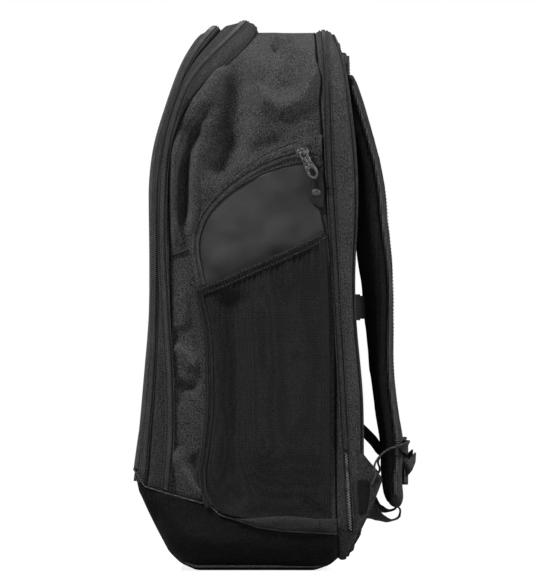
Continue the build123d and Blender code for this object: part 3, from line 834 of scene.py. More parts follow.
def ribbon(name, path, across, normal, width, thick, ripple=0.0, seed=0, edge=0.35):
    """A flat strip with rounded edges: path, direction across it and its outward normal at each point."""
    path = np.asarray(path, float)
    across = unit(np.broadcast_to(across, path.shape))
    normal = unit(np.broadcast_to(normal, path.shape))
    width = np.broadcast_to(width, len(path)).astype(float)
    thick = np.broadcast_to(thick, len(path)).astype(float)
    turn = np.linspace(0, 2 * math.pi, 20, endpoint=False)
    a = np.sign(np.cos(turn)) * np.abs(np.cos(turn)) ** edge
    n = np.sign(np.sin(turn)) * np.abs(np.sin(turn)) ** 0.6
    grid = (path[:, None, :] + across[:, None, :] * (a[None, :] * width[:, None] / 2)[..., None]
            + normal[:, None, :] * (n[None, :] * thick[:, None] / 2)[..., None])
    if ripple:
        grid = grid + normal[:, None, :] * (ripple * noise(grid, (9, 9, 9), seed))[..., None]
    rows, columns = grid.shape[:2]
    faces = grid_faces(rows, columns, close_columns=True)
    faces.append(tuple(range(columns - 1, -1, -1)))
    faces.append(tuple((rows - 1) * columns + k for k in range(columns)))
    run = np.append(0, np.cumsum(np.linalg.norm(np.diff(path, axis=0), axis=1)))
    uv = np.stack(np.broadcast_arrays(a[None, :] * width[:, None] / 2, run[:, None]), axis=2).reshape(-1, 2)
    made = mesh_object(name, grid.reshape(-1, 3), faces, uv)
    return made


def teeth(name, path, normal, width, pitch, height, length_share=0.55):
    """Coil teeth: short rounded bars across a path, in two rows that mesh."""
    path = np.asarray(path, float)
    run = np.append(0, np.cumsum(np.linalg.norm(np.diff(path, axis=0), axis=1)))
    stations = np.arange(pitch, run[-1] - pitch, pitch / 2)
    tangent = unit(np.gradient(path, axis=0))
    place = np.stack([np.interp(stations, run, path[:, k]) for k in range(3)], 1)
    along = unit(np.stack([np.interp(stations, run, tangent[:, k]) for k in range(3)], 1))
    normals = np.broadcast_to(normal, path.shape)
    out = unit(np.stack([np.interp(stations, run, normals[:, k]) for k in range(3)], 1))
    side = np.cross(along, out)
    row = np.where(np.arange(len(stations)) % 2 == 0, 1.0, -1.0)
    centre = place + side * (row * width * (0.5 - length_share / 2))[:, None]
    turn = np.linspace(0, 2 * math.pi, 6, endpoint=False)
    points = []
    faces = []
    for reach in (-1.0, -0.8, 0.8, 1.0):
        shrink = 0.55 if abs(reach) == 1.0 else 1.0
        for angle in turn:
            points.append(centre + side * (reach * width * length_share / 2)
                          + along * (math.cos(angle) * pitch * 0.23 * shrink)
                          + out * ((math.sin(angle) * shrink + 0.4) * height / 1.4))
    points = np.array(points).transpose(1, 0, 2)
    one = grid_faces(4, 6, close_columns=True) + [(5, 4, 3, 2, 1, 0), (18, 19, 20, 21, 22, 23)]
    for k in range(len(stations)):
        faces.extend([tuple(v + 24 * k for v in f) for f in one])
    return mesh_object(name, points.reshape(-1, 3), faces)


def stitches(name, path, normal, pitch=3.0, share=0.65, radius=0.35):
    """A row of stitches standing a little out of the cloth."""
    path = np.asarray(path, float)
    run = np.append(0, np.cumsum(np.linalg.norm(np.diff(path, axis=0), axis=1)))
    starts = np.arange(0, run[-1] - pitch, pitch)
    normals = np.broadcast_to(normal, path.shape)

    def at(s, values):
        return np.stack([np.interp(s, run, values[:, k]) for k in range(3)], 1)

    points = []
    for share_along, rise in ((0.0, -0.6), (0.2, 0.6), (0.8, 0.6), (1.0, -0.6)):
        s = starts + share_along * pitch * share
        middle = at(s, path)
        ahead = at(s + 0.2, path) - at(s - 0.2, path)
        out = unit(at(s, normals))
        side = unit(np.cross(ahead, out))
        centre = middle + out * rise * radius
        for a, b in ((1, 0), (0.3, 0.9), (-0.3, 0.9), (-1, 0)):
            points.append(centre + side * a * radius + out * b * radius)
    points = np.array(points).transpose(1, 0, 2)
    one = grid_faces(4, 4)
    faces = []
    for k in range(len(starts)):
        faces.extend([tuple(v + 16 * k for v in f) for f in one])
    return mesh_object(name, points.reshape(-1, 3), faces)


def over_arch(y_of, half, crown, corner, low, out, step=2.0):
    """A path over the arch at a given Y, and its outward normal."""
    x, z, nx, nz, _ = arch_path(half, crown, corner, low, step)
    y = y_of(z)
    path = np.stack([x + nx * out, y, z + nz * out], axis=1)
    normal = np.stack([nx, 0 * nx, nz], axis=1)
    return path, normal


def coil_y(name):
    points = MESHES[name][0]
    side = points[points[:, 0] > 20]
    order = np.round(side[:, 2] / 8)
    rows = [(side[order == k][:, 2].mean(), side[order == k][:, 1].mean()) for k in np.unique(order)]
    return curve(*np.array(rows).T)


ZIPS = (
    ("front", coil_y("front_coil"), FRONT_HALF, FRONT_CROWN, CORNER, 98.0, 2.6, 5.0),
    ("main", coil_y("main_coil"), MAIN_HALF, MAIN_CROWN, CORNER + 5, 80.0, 3.2, 6.0),
)
for name, y_of, half, crown, corner, low, out, tape in ZIPS:
    low = float(boot_top(y_of(low))) + 1.5
    path, normal = over_arch(y_of, half, crown, corner, low, out)
    path = path - normal * (3.0 * (1 - smooth((path[:, 2:] - low) / 12)))
    across = np.cross(unit(np.gradient(path, axis=0)), normal)
    strip = ribbon(f"{name}_tape", path + normal * 0.2, across, normal, tape, 0.9, 0.25, 5)
    row = teeth(f"{name}_teeth", path + normal * 0.5, normal, 4.0, 1.9, 0.9)
    finish_piece(strip, "bag", TAPE)
    finish_piece(row, "bag", COIL, [f"{name}_coil"])
    for k, shift in enumerate((-1, 1)):
        edge = path + across * shift * (tape / 2 + 1.0) + normal * 0.1
        finish_piece(stitches(f"{name}_stitch_{k}", edge, normal, 3.2), "bag", THREAD)

WORN_TOP = 112.0
racket_zip_y = coil_y("racket_coil")
keep = (racket_path[:, 1] > RACKET_FOOT + 24)
ring = racket_path[keep]
out = 1.9
path = np.stack([ring[:, 0] + ring[:, 2] * out, racket_zip_y(ring[:, 1]), ring[:, 1] + ring[:, 3] * out], 1)
normal = np.stack([ring[:, 2], 0 * ring[:, 2], ring[:, 3]], 1)
across = np.cross(unit(np.gradient(path, axis=0)), normal)
finish_piece(ribbon("racket_tape", path, across, normal, 6.0, 1.2, 0.2, 6), "bag", TAPE)
worn = int(np.argmax(path[:, 2] > WORN_TOP)) + 1
finish_piece(teeth("racket_teeth", (path + normal * 0.9)[worn - 1:], normal[worn - 1:], 3.6, 2.2, 1.0), "bag",
             COIL_LIGHT, ["racket_coil"])
finish_piece(teeth("racket_teeth_worn", (path + normal * 0.9)[:worn], normal[:worn], 2.4, 2.6, 1.0), "bag",
             COIL_WORN)
for k, shift in enumerate((-1, 1)):
    lip = path + across * shift * 3.6 + normal * 0.4
    finish_piece(tube(f"racket_lip_{k}", lip, 0.9, 6), "bag", BAND)

# Welt piping where the bands meet the panels
PIPES = (
    ("front_welt", lambda z: front_low(z) + 0.2, FRONT_HALF, FRONT_CROWN, CORNER, 97.0, -0.4, 1.1, BAND),
    ("roll_welt", lambda z: front_high(z) + 0.4, FRONT_HALF, FRONT_CROWN, CORNER, 84.0, -1.2, 0.8, BOOT),
    ("gusset_welt", lambda z: main_high(z) + 0.3, HALF, CROWN, CORNER, 76.0, 0.1, 0.9, BOOT),
)
for name, y_of, half, crown, corner, low, out, radius, paint in PIPES:
    low = float(boot_top(y_of(low))) + 1.5
    path, normal = over_arch(y_of, half, crown, corner, low, out)
    path = path - normal * (3.0 * (1 - smooth((path[:, 2:] - low) / 12)))
    finish_piece(tube(name, path, radius, 8), "bag", paint)
back_rim = np.stack([racket_path[:, 0] - racket_path[:, 2] * 2.0, racket_high(racket_path[:, 1])
                     - foot_pull[:, 0] + 0.2, racket_path[:, 1] - racket_path[:, 3] * 2.0], 1)
finish_piece(tube("back_welt", back_rim, 1.5, 8, closed=True), "bag", BAND)
gusset_rear = np.stack([racket_path[:, 0], racket_low(racket_path[:, 1]) - 0.4, racket_path[:, 1]], 1)
finish_piece(tube("gusset_rear_welt", gusset_rear, 1.0, 8, closed=True), "bag", BOOT)

# Boot piping: along its top seam and low on each side
ys = np.linspace(BOOT_REAR - 1, BOOT_NOSE + 1, 80)
right = np.stack([boot_half(ys) + 0.3, ys, boot_top(ys)], 1)
front_run = np.stack([np.linspace(right[-1][0], -right[-1][0], 60)[1:-1], np.full(58, BOOT_NOSE - 0.1),
                      np.full(58, boot_top(BOOT_NOSE))], 1)
left = right[::-1] * np.array([-1, 1, 1])
finish_piece(tube("boot_piping", np.vstack([right, front_run, left]), 0.8, 8), "bag", PIPING)
for side, sign in SIDES:
    ys = np.linspace(-78, 68, 60)
    low = boot_under(ys)
    reach = BOOT_HALF - FOOT_CORNER + np.sqrt(FOOT_CORNER**2 - (FOOT_CORNER - 4.0) ** 2)
    path = np.stack([np.full(60, sign * (reach + 0.4)), ys, low + 4.0], 1)
    path[:, 0] -= sign * 6 * (1 - smooth((ys + 78) / 20))
    finish_piece(tube(f"sole_piping_{side}", path, 1.9, 8), "bag", SOLE)


# Side of the bag: zip, smooth panel and mesh pocket -------------------------------------
BEND_RADIUS = 60.0


def zip_line(offset, start=98.0, end=140.0, bend=52.0, tail=26.0):
    """The side zip's line in Y and Z: an arc, a tighter bend and a short tail. Offset outwards."""
    turn = np.radians(np.linspace(start, end, 60))
    big = np.stack([ZIP_Y + ZIP_RADIUS * np.cos(turn), ZIP_Z + ZIP_RADIUS * np.sin(turn)], 1)
    centre = big[-1] - BEND_RADIUS * np.array([math.cos(turn[-1]), math.sin(turn[-1])])
    turn2 = np.radians(np.linspace(end, end + bend, 26))[1:]
    small = centre + BEND_RADIUS * np.stack([np.cos(turn2), np.sin(turn2)], 1)
    heading = np.array([-math.sin(turn2[-1]), math.cos(turn2[-1])])
    last = small[-1] + heading * np.linspace(0, tail, 14)[1:, None]
    line = np.vstack([big, small, last])
    ahead = unit(np.gradient(line, axis=0))
    outward = np.stack([ahead[:, 1], -ahead[:, 0]], 1)
    return line + outward * np.broadcast_to(offset, len(line))[:, None], outward


share = np.linspace(0, 1, len(zip_line(0.0)[0]))
OUTER = np.interp(share, (0, 0.3, 0.55, 1), (13.0, 7.5, 5.5, 4.0))
INNER = np.interp(share, (0, 0.3, 0.55, 1), (-11.0, -8.0, -4.0, -2.5))
SIDE_FACE = HALF + 0.3
RIVET_Y = 51.2
RIVET_Z = 357.4

POCKET_OUT = box("mesh_pocket_right")[1][0]
HEM = ((-58.5, 266.0), (-40, 273.5), (-11.5, 286.0), (19, 299.5), (46, 312.5), (60, 321.5))
POCKET_LEFT = ((-48, 61), (-53.5, 74), (-55, 93), (-52, 112), (-48, 151), (-48, 189), (-50, 227),
               (-58.5, 266))
POCKET_RIGHT = ((64.5, 37), (64.8, 120), (64.6, 220), (62.5, 290), (60, 321.5))
POCKET_UNDER = ((-48, 61), (-38, 54.5), (-22.5, 50.5), (-3.5, 47), (30, 42), (64.5, 37))
POCKET_STAND = POCKET_OUT - HALF - 1.0


def coons(bottom, top, left, right, rows, columns):
    """A smooth patch between four edges of (Y, Z) points."""
    b = spline(bottom, columns)[None, :, :]
    t = spline(top, columns)[None, :, :]
    lft = spline(left, rows)[:, None, :]
    rgt = spline(right, rows)[:, None, :]
    u = np.linspace(0, 1, columns)[None, :, None]
    v = np.linspace(0, 1, rows)[:, None, None]
    corners = ((1 - u) * (1 - v) * b[:, :1] + u * (1 - v) * b[:, -1:]
               + (1 - u) * v * t[:, :1] + u * v * t[:, -1:])
    return (1 - v) * b + v * t + (1 - u) * lft + u * rgt - corners


def pocket_stand(u, v):
    """How far the pocket stands off the bag: drawn in at both seams and at the foot, loose at the hem."""
    return POCKET_STAND * np.sqrt(smooth(u / 0.2) * smooth((1 - u) / 0.1)) * (0.25 + 0.75 * smooth(v / 0.3))


def flat_size(flat):
    """Width, height and area in metres of a flat cut given as a grid of (Y, Z) points."""
    a = flat[1:, 1:] - flat[:-1, :-1]
    b = flat[1:, :-1] - flat[:-1, 1:]
    area = np.abs(a[..., 0] * b[..., 1] - a[..., 1] * b[..., 0]).sum() / 2
    size = np.ptp(flat.reshape(-1, 2), axis=0)
    return size[0] * MM, size[1] * MM, float(area) * MM * MM


for side, sign in SIDES:
    outer, outward = zip_line(OUTER)
    inner, _ = zip_line(INNER)
    centre, _ = zip_line(0.0)
    pieces = []
    # Flaps on both sides of the coil, from its outer and inner seams
    for k, (a, b, rise, tag) in enumerate(((outer, centre, 1.5, "upper"), (centre, inner, 1.1, "lower"))):
        t = np.linspace(0, 1, 13)
        flat = a[:, None, :] * (1 - t)[None, :, None] + b[:, None, :] * t[None, :, None]
        swell = rise * (1 - np.abs(2 * t - 1) ** 4)[None, :] * np.ones((len(a), 1))
        pos = upright(flat, SIDE_FACE)
        swell = swell + 0.5 * noise(pos, (8, 7, 7), 51 + k)
        pos[..., 0] = sign * (SIDE_FACE + 0.3 + swell)
        flap = grid_object(f"side_flap_{tag}_{side}", pos, grid_uv(pos), MIDDLE)
        finish_piece(flap, "bag", HEATHER if k == 0 else BAND,
                     [f"side_zip_{side}"] if k == 0 else [], solid=0.9)
    lift = np.full((len(centre), 1), sign * (SIDE_FACE + 1.3))
    path = np.hstack([lift, zip_line(-1.6)[0]])
    normal = np.array([sign, 0.0, 0.0])
    row = teeth(f"side_teeth_{side}", path, normal, 3.6, 2.0, 1.0)
    finish_piece(row, "bag", COIL)
    for k, offset in enumerate((OUTER * 0.55, INNER * 0.72)):
        path = np.hstack([lift + sign * 0.3, zip_line(offset)[0]])
        finish_piece(stitches(f"side_stitch_{side}_{k}", path, normal, 3.0), "bag", THREAD)
    path = np.hstack([np.full((len(outer), 1), sign * (SIDE_FACE + 0.6)), outer])
    finish_piece(tube(f"side_flap_edge_{side}", path, 0.9, 8), "bag", HEATHER)

    # Smooth panel between the zip and the pocket's hem
    top = np.vstack([inner[::-1] + (0, 0.5), [(50, 380), (55.5, 374)]])
    lower = np.array(HEM) + (0, -4)
    ratio = np.linspace(0, 1, 60)
    top_line = spline(top[::6], 60)
    low_line = spline(lower, 60)
    rows = np.linspace(0, 1, 44)
    flat = low_line[None] * (1 - rows)[:, None, None] + top_line[None] * rows[:, None, None]
    pos = upright(flat, HALF)
    sag = 3.2 * np.sin(np.pi * rows)[:, None] * np.sin(np.pi * ratio)[None, :]
    y = pos[..., 1]
    zz = pos[..., 2]
    creases = (fold(y, zz, [(-52, 300), (-30, 312), (0, 322), (30, 352)], 13, -1.5)
               + fold(y, zz, [(10, 296), (14, 330), (20, 372)], 9, 1.3)
               + fold(y, zz, [(-50, 282), (-36, 300), (-28, 330)], 10, 1.0)
               + fold(y, zz, [(30, 306), (40, 330), (36, 366)], 10, -0.9))
    lift = np.maximum(0.4 + sag + 1.5 * creases + 0.35 * noise(pos, 22, 61), 0.2)
    pos[..., 0] = sign * (SIDE_FACE + lift)
    panel = grid_object(f"smooth_panel_cover_{side}", pos, grid_uv(pos), MIDDLE)
    finish_piece(panel, "bag", COATED, [f"smooth_panel_{side}"], solid=0.8)
    wide, tall, area = flat_size(flat)

    # Zip end tab inside the panel, with its rivet
    tab = np.array([(43, 383), (57, 374), (58.5, 346), (54, 343), (46.5, 349), (43.5, 358)])
    middle = tab.mean(0)
    ring = np.array([middle + (tab - middle) * s for s in (0.05, 0.5, 0.9, 1.0)])
    fine = np.array([spline(np.vstack([r, r[:1]]), 49)[:-1] for r in ring])
    pos = upright(fine)
    pos[..., 0] = sign * (SIDE_FACE + 2.1 + np.array([0.9, 0.9, 0.7, 0.0]))[:, None]
    finish_piece(grid_object(f"zip_end_tab_{side}", pos, grid_uv(pos), MIDDLE, close_columns=True), "bag",
                 TAPE, solid=0.8)
    turn = np.linspace(0, 2 * math.pi, 28, endpoint=False)
    rings = []
    for radius, rise in ((0.2, 1.0), (1.6, 0.95), (2.9, 0.7), (3.6, 0.2), (3.7, -0.4)):
        rings.append(np.stack([np.full(28, sign * (SIDE_FACE + 3.1 + rise)),
                               RIVET_Y + radius * 1.15 * np.cos(turn), RIVET_Z + radius * np.sin(turn)], 1))
    rings = np.array(rings)
    rivet = grid_object(f"zip_end_rivet_{side}", rings, grid_uv(rings), MIDDLE, close_columns=True)
    finish_piece(rivet, "bag", COIL_LIGHT, solid=0.4)

    # Garage flap over the zip's upper end
    garage = spline([(30, 402), (37, 408), (46, 411), (57, 412)], 24)
    drop = np.array([(3, -15), (1, -16), (-1, -16), (0, -22)])
    under = spline(np.array([(30, 402), (37, 408), (46, 411), (57, 412)]) + drop, 24)
    rows = np.linspace(0, 1, 12)
    flat = garage[None] * (1 - rows)[:, None, None] + under[None] * rows[:, None, None]
    pos = upright(flat)
    swell = 1.4 * np.sin(np.pi * np.linspace(0.05, 0.95, 12))[:, None] + 0.4 * noise(pos, 7, 63)
    pos[..., 0] = sign * (SIDE_FACE + 0.8 + swell * (1 - rows[:, None] * 0.5))
    flap = grid_object(f"zip_garage_flap_{side}", pos, grid_uv(pos), MIDDLE)
    finish_piece(flap, "bag", HEATHER, ["zip_garages"] if sign > 0 else [], solid=0.9)

    # Mesh pocket
    flat = coons(POCKET_UNDER, HEM, POCKET_LEFT, POCKET_RIGHT, 110, 90)
    u = np.linspace(0, 1, 90)[None, :]
    v = np.linspace(0, 1, 110)[:, None]
    stand = pocket_stand(u, v)
    y = flat[..., 0]
    zz = flat[..., 1]
    below_hem = (1 - v) * 250
    gathers = np.sin(y * 2 * np.pi / 5.2 + 1.6 * noise(np.stack([y, y * 0, zz], 2), (9, 9, 60), 71))
    ruffle = 0.75 * gathers * np.exp(-below_hem / 26) * smooth(u / 0.05) * smooth((1 - u) / 0.05)
    soft = (fold(y, zz, [(-31, 268), (-27, 200), (-26, 120), (-25, 56)], 15, -7.5, 0.08)
            + fold(y, zz, [(-2, 280), (0, 180), (-4, 80)], 15, 2.4)
            + fold(y, zz, [(20, 290), (30, 200), (24, 110)], 18, -1.0)
            + fold(y, zz, [(44, 78), (54, 64), (66, 56)], 5, 2.4)
            + fold(y, zz, [(38, 70), (48, 60), (62, 50)], 4, -1.8)
            + fold(y, zz, [(-36, 92), (-20, 74), (4, 62)], 8, 1.2))
    pos = upright(flat)
    rough = 0.5 * noise(pos, (20, 12, 40), 72) + 0.2 * noise(pos, (9, 6, 12), 73)
    edge = smooth(u / 0.06) * smooth((1 - u) / 0.04) * smooth(v / 0.05)
    soft = soft * stand / POCKET_STAND
    clear = np.maximum(0.8 + stand + ruffle + (soft + rough) * edge, 0.7)
    pos[..., 0] = sign * (SIDE_FACE + clear)
    pocket = grid_object(f"pocket_{side}", pos, grid_uv(pos), MIDDLE)
    finish_piece(pocket, "bag", KNIT, [f"mesh_pocket_{side}"], solid=0.9)
    wide, tall, area = flat_size(flat)

    # Gathered hem along its top
    count = 260
    line = spline(HEM, count)
    u1 = np.linspace(0, 1, count)
    x1 = SIDE_FACE + 1.2 + pocket_stand(u1, 1.0)
    pleat = 0.5 * np.sin(u1 * length_of(line) * 2 * np.pi / 2.6 + 2.0 * noise(
        np.stack([u1 * 130, u1 * 0, u1 * 0], 1), 7, 74))
    path = np.stack([sign * (x1 + pleat * 0.6), line[:, 0], line[:, 1] - 3.0 + 0.5 * pleat], 1)
    ahead = unit(np.gradient(path, axis=0))
    normal = np.array([sign, 0.0, 0.0])
    across = unit(np.cross(ahead, np.broadcast_to(normal, ahead.shape)))
    hem = ribbon(f"pocket_hem_band_{side}", path, across, normal, 8.6 + pleat, 2.0 + 0.9 * pleat, 0.35, 75)
    finish_piece(hem, "bag", ELASTIC, [f"pocket_hem_{side}"])
    for k, shift in enumerate((-2.6, 2.6)):
        row = stitches(f"hem_stitch_{side}_{k}", path + across * shift + normal * 1.1, normal, 2.6, 0.6, 0.3)
        finish_piece(row, "bag", THREAD)

    # Binding down its front edge: a folded strip with a pipe along each border
    edge_line = spline(POCKET_LEFT, 120)
    ahead = unit(np.gradient(edge_line, axis=0))
    left_of = np.stack([-ahead[:, 1], ahead[:, 0]], 1)
    base = np.hstack([np.full((120, 1), sign * (SIDE_FACE + 1.4)), edge_line + left_of * 1.5])
    across = np.hstack([np.zeros((120, 1)), left_of])
    strip = ribbon(f"pocket_edge_{side}", base, across, normal, 8.0, 1.8, 0.5, 76)
    finish_piece(strip, "bag", ELASTIC, [f"pocket_binding_{side}"])
    for k, shift in enumerate((-2.6, 1.9)):
        pipe = base + across * shift + normal * 0.9
        finish_piece(tube(f"pocket_pipe_{side}_{k}", pipe, 0.8, 8), "bag", SOFT_STRIP)

    # Lighter strip under the pocket
    ys = np.linspace(-26, 71, 60)
    top = 50.6 + 1.2 * np.sin(ys / 13)
    bottom = np.minimum(boot_top(ys) + 0.5, top - 0.4)
    rows = np.linspace(0, 1, 9)[:, None]
    zz = bottom[None] * (1 - rows) + top[None] * rows
    pos = np.stack([0 * zz, np.repeat(ys[None], 9, 0), zz], 2)
    swell = 2.0 * np.sqrt(np.sin(np.pi * np.clip(rows, 0.02, 0.98))) + 0.7 * noise(pos, (9, 14, 6), 77)
    pos[..., 0] = sign * (SIDE_FACE + 2.6 + swell)
    strip = grid_object(f"pocket_foot_strip_{side}", pos, grid_uv(pos), MIDDLE)
    finish_piece(strip, "bag", SOFT_STRIP, solid=0.9)
    seam_up = np.array([(54.5, 37.5), (54.5, 50)])
    row = np.hstack([np.full((2, 1), sign * (SIDE_FACE + 5.0)), seam_up])
    finish_piece(stitches(f"foot_strip_stitch_{side}", spline(row, 12), normal, 2.2, 0.6, 0.4), "bag", BOOT)

    # Short cross seam between the folds, and the bar tack beside the racket zip
    seam = spline([(-86, 297), (-78, 299.5), (-69, 303)], 16)
    row = np.hstack([np.full((16, 1), sign * (HALF + 1.0)), seam])
    finish_piece(tube(f"cross_seam_{side}", row, 0.7, 6), "bag", BOOT)


tack = spline([(57.4, 361.3), (63, 361.6), (70, 361.3)], 16)
row = np.hstack([np.full((16, 1), RACKET_HALF + 2.9), tack])
finish_piece(tube("bar_tack", row, 0.7, 6), "bag", BOOT)


# Wings at the straps' feet ------------------------------------------------------------
WING = ((87, 115), (92, 113), (103, 99), (112.5, 88.5), (113, 86), (104, 62), (93, 39), (87, 34))
for side, sign in SIDES:
    outline = np.array(WING, float)
    middle = np.array([96.0, 76.0])
    rows = []
    shrink = (0.03, 0.25, 0.5, 0.75, 0.93, 1.0)
    closed = np.vstack([outline, outline[:1]])
    run = np.append(0, np.cumsum(np.linalg.norm(np.diff(closed, axis=0), axis=1)))
    even = np.linspace(0, run[-1], 73)[:-1]
    rim = np.stack([np.interp(even, run, closed[:, k]) for k in range(2)], 1)
    flat = np.array([middle + (rim - middle) * s for s in shrink])
    wing_low, wing_high = box(f"wing_{side}")
    face = max(abs(wing_low[0]), abs(wing_high[0])) - 1.0
    pos = upright(flat)
    y = pos[..., 1]
    zz = pos[..., 2]
    bend = (fold(y, zz, [(88, 112), (100, 98), (112, 87)], 2.5, 1.4)
            + fold(y, zz, [(94, 106), (104, 90), (108, 80)], 4, -1.4)
            + fold(y, zz, [(94, 42), (103, 64), (111, 84)], 2.5, 1.3)
            + fold(y, zz, [(104, 96), (105, 80), (102, 60)], 3, 1.2))
    pos[..., 0] = sign * (face + bend + 0.4 * noise(pos, 8, 81))
    wing = grid_object(f"wing_cloth_{side}", pos, grid_uv(pos), np.array([0, 96, 76]), close_columns=True)
    finish_piece(wing, "bag", BAND, [f"wing_{side}"], solid=2.0, offset=-0.5)
    pipe = np.hstack([np.full((72, 1), sign * (face - 0.2)), rim])
    finish_piece(tube(f"wing_edge_{side}", pipe, 1.0, 8, closed=True), "bag", TAPE)

LABEL_FACE = box("wing_label")[1][0] + 0.3
corners = np.array([(90.5, 86), (100, 86), (99, 54), (91.5, 54)], float)
u = np.linspace(0, 1, 14)[None, :, None]
v = np.linspace(0, 1, 34)[:, None, None]
flat = (corners[0] * (1 - u) + corners[1] * u) * (1 - v) + (corners[3] * (1 - u) + corners[2] * u) * v
pos = upright(flat, LABEL_FACE)
pos[..., 0] += 0.7 * np.sin(np.pi * v[..., 0]) + 0.3 * noise(pos, 9, 83)
finish_piece(grid_object("wing_label_cloth", pos, grid_uv(pos), MIDDLE), "bag", LABEL,
             ["wing_label"], solid=0.7)


# Padded pieces ------------------------------------------------------------
def puffed(piece, voxel, pressure, cap, frames=20):
    """Swells a piece with a cloth simulation, and keeps every point within cap of where it was."""
    modifier(piece, "REMESH", mode="VOXEL", voxel_size=voxel * MM, use_smooth_shade=True)
    settle(piece)
    before = np.empty(len(piece.data.vertices) * 3)
    piece.data.vertices.foreach_get("co", before)
    sim = piece.modifiers.new("Cloth", "CLOTH")
    sim.settings.quality = 4
    sim.settings.mass = 0.2
    sim.settings.tension_stiffness = 12
    sim.settings.compression_stiffness = 12
    sim.settings.bending_stiffness = 1.5
    sim.settings.use_pressure = True
    sim.settings.uniform_pressure_force = pressure
    sim.settings.effector_weights.gravity = 0
    sim.collision_settings.use_collision = False
    scene = bpy.context.scene
    for step in range(1, frames + 1):
        scene.frame_set(step)
    graph = bpy.context.evaluated_depsgraph_get()
    done = piece.evaluated_get(graph).to_mesh()
    after = np.empty(len(done.vertices) * 3)
    done.vertices.foreach_get("co", after)
    piece.evaluated_get(graph).to_mesh_clear()
    piece.modifiers.clear()
    scene.frame_set(1)
    move = (after - before).reshape(-1, 3)
    size = np.linalg.norm(move, axis=1, keepdims=True)
    move = move * np.minimum(1, cap * MM / np.maximum(size, 1e-9))
    piece.data.vertices.foreach_set("co", (before.reshape(-1, 3) + move).ravel())
    piece.data.update()
    return piece


def strap_stations(name):
    """Centre, half width, half thickness and turn of a strap at heights along it, from its CAD node."""
    low, high = box(name)
    rows = []
    for z in np.linspace(high[2] - 3, low[2] + 3, 15):
        pts = cut(name, 2, z)[:, :2]
        centre = (pts.min(0) + pts.max(0)) / 2
        off = pts - centre
        best = None
        for angle in np.radians(np.arange(-40, 41, 2)):
            c, s = math.cos(angle), math.sin(angle)
            a = off @ np.array([c, s])
            b = off @ np.array([-s, c])
            area = np.ptp(a) * np.ptp(b)
            if best is None or area < best[0]:
                best = (area, angle, (a.max() + a.min()) / 2, (b.max() + b.min()) / 2, np.ptp(a), np.ptp(b))
        _, angle, ma, mb, width, thick = best
        c, s = math.cos(angle), math.sin(angle)
        rows.append((centre[0] + c * ma - s * mb, centre[1] + s * ma + c * mb, z,
                     width / 2, thick / 2, angle))
    return np.array(rows)


STRAP_FULL = 2.2
STRAP_FULL_Z = 335.0
STRAP_FULL_RUN = 48.0
for side, sign in SIDES:
    body = f"strap_{side}"
    rows = strap_stations(f"shoulder_strap_{side}")
    path = spline(rows[:, :3], 150)
    share = np.linspace(0, 1, 150)
    own = np.linspace(0, 1, len(rows))
    width = np.interp(share, own, rows[:, 3])
    thick = np.interp(share, own, rows[:, 4])
    angle = np.interp(share, own, rows[:, 5])
    full = STRAP_FULL * np.exp(-((path[:, 2] - STRAP_FULL_Z) / STRAP_FULL_RUN) ** 2)
    thick = thick + full
    path[:, 1] = path[:, 1] - full
    ends = np.sqrt(np.clip(np.minimum(share, 1 - share) / 0.022, 0.3, 1))
    across = np.stack([np.cos(angle), np.sin(angle), 0 * angle], 1)
    ahead = unit(np.gradient(path, axis=0))
    normal = unit(np.cross(ahead, across))
    turn = np.linspace(0, 2 * math.pi, 36, endpoint=False)
    a = np.sign(np.cos(turn)) * np.abs(np.cos(turn)) ** 0.38
    n = np.sign(np.sin(turn)) * np.abs(np.sin(turn)) ** 0.5
    grid = (path[:, None, :] + across[:, None, :] * (a[None, :] * (width * ends * 0.98)[:, None])[..., None]
            + normal[:, None, :] * (n[None, :] * (thick * ends * 0.92)[:, None])[..., None])
    grid = grid + normal[:, None, :] * (0.6 * noise(grid, (22, 18, 16), 91))[..., None]
    faces = grid_faces(150, 36, close_columns=True)
    faces.append(tuple(range(35, -1, -1)))
    faces.append(tuple(149 * 36 + k for k in range(36)))
    strap = mesh_object(f"padded_strap_{side}", grid.reshape(-1, 3), faces)
    puffed(strap, 5.0, 3.0, 2.0)
    modifier(strap, "SUBSURF", levels=1, render_levels=1)
    settle(strap)
    finish_piece(strap, body, STRAP, [f"shoulder_strap_{side}"])
    # Bound edges, and a row of stitches along each on the outward face
    inner = slice(5, 145)
    for k, way in enumerate((-1, 1)):
        rim = (path + across * (way * width * 0.99)[:, None])[inner]
        finish_piece(tube(f"strap_binding_{side}_{k}", rim, 2.3, 10), body, WEBBING)
        line = (path + across * (way * width * 0.78)[:, None]
                + normal * (np.sign(normal[:, 1:2]) * thick[:, None] * 0.86))[inner]
        outer = (normal * np.sign(normal[:, 1:2]))[inner]
        row = stitches(f"strap_stitch_{side}_{k}", line, outer, 3.4, 0.6, 0.4)
        finish_piece(row, body, THREAD)


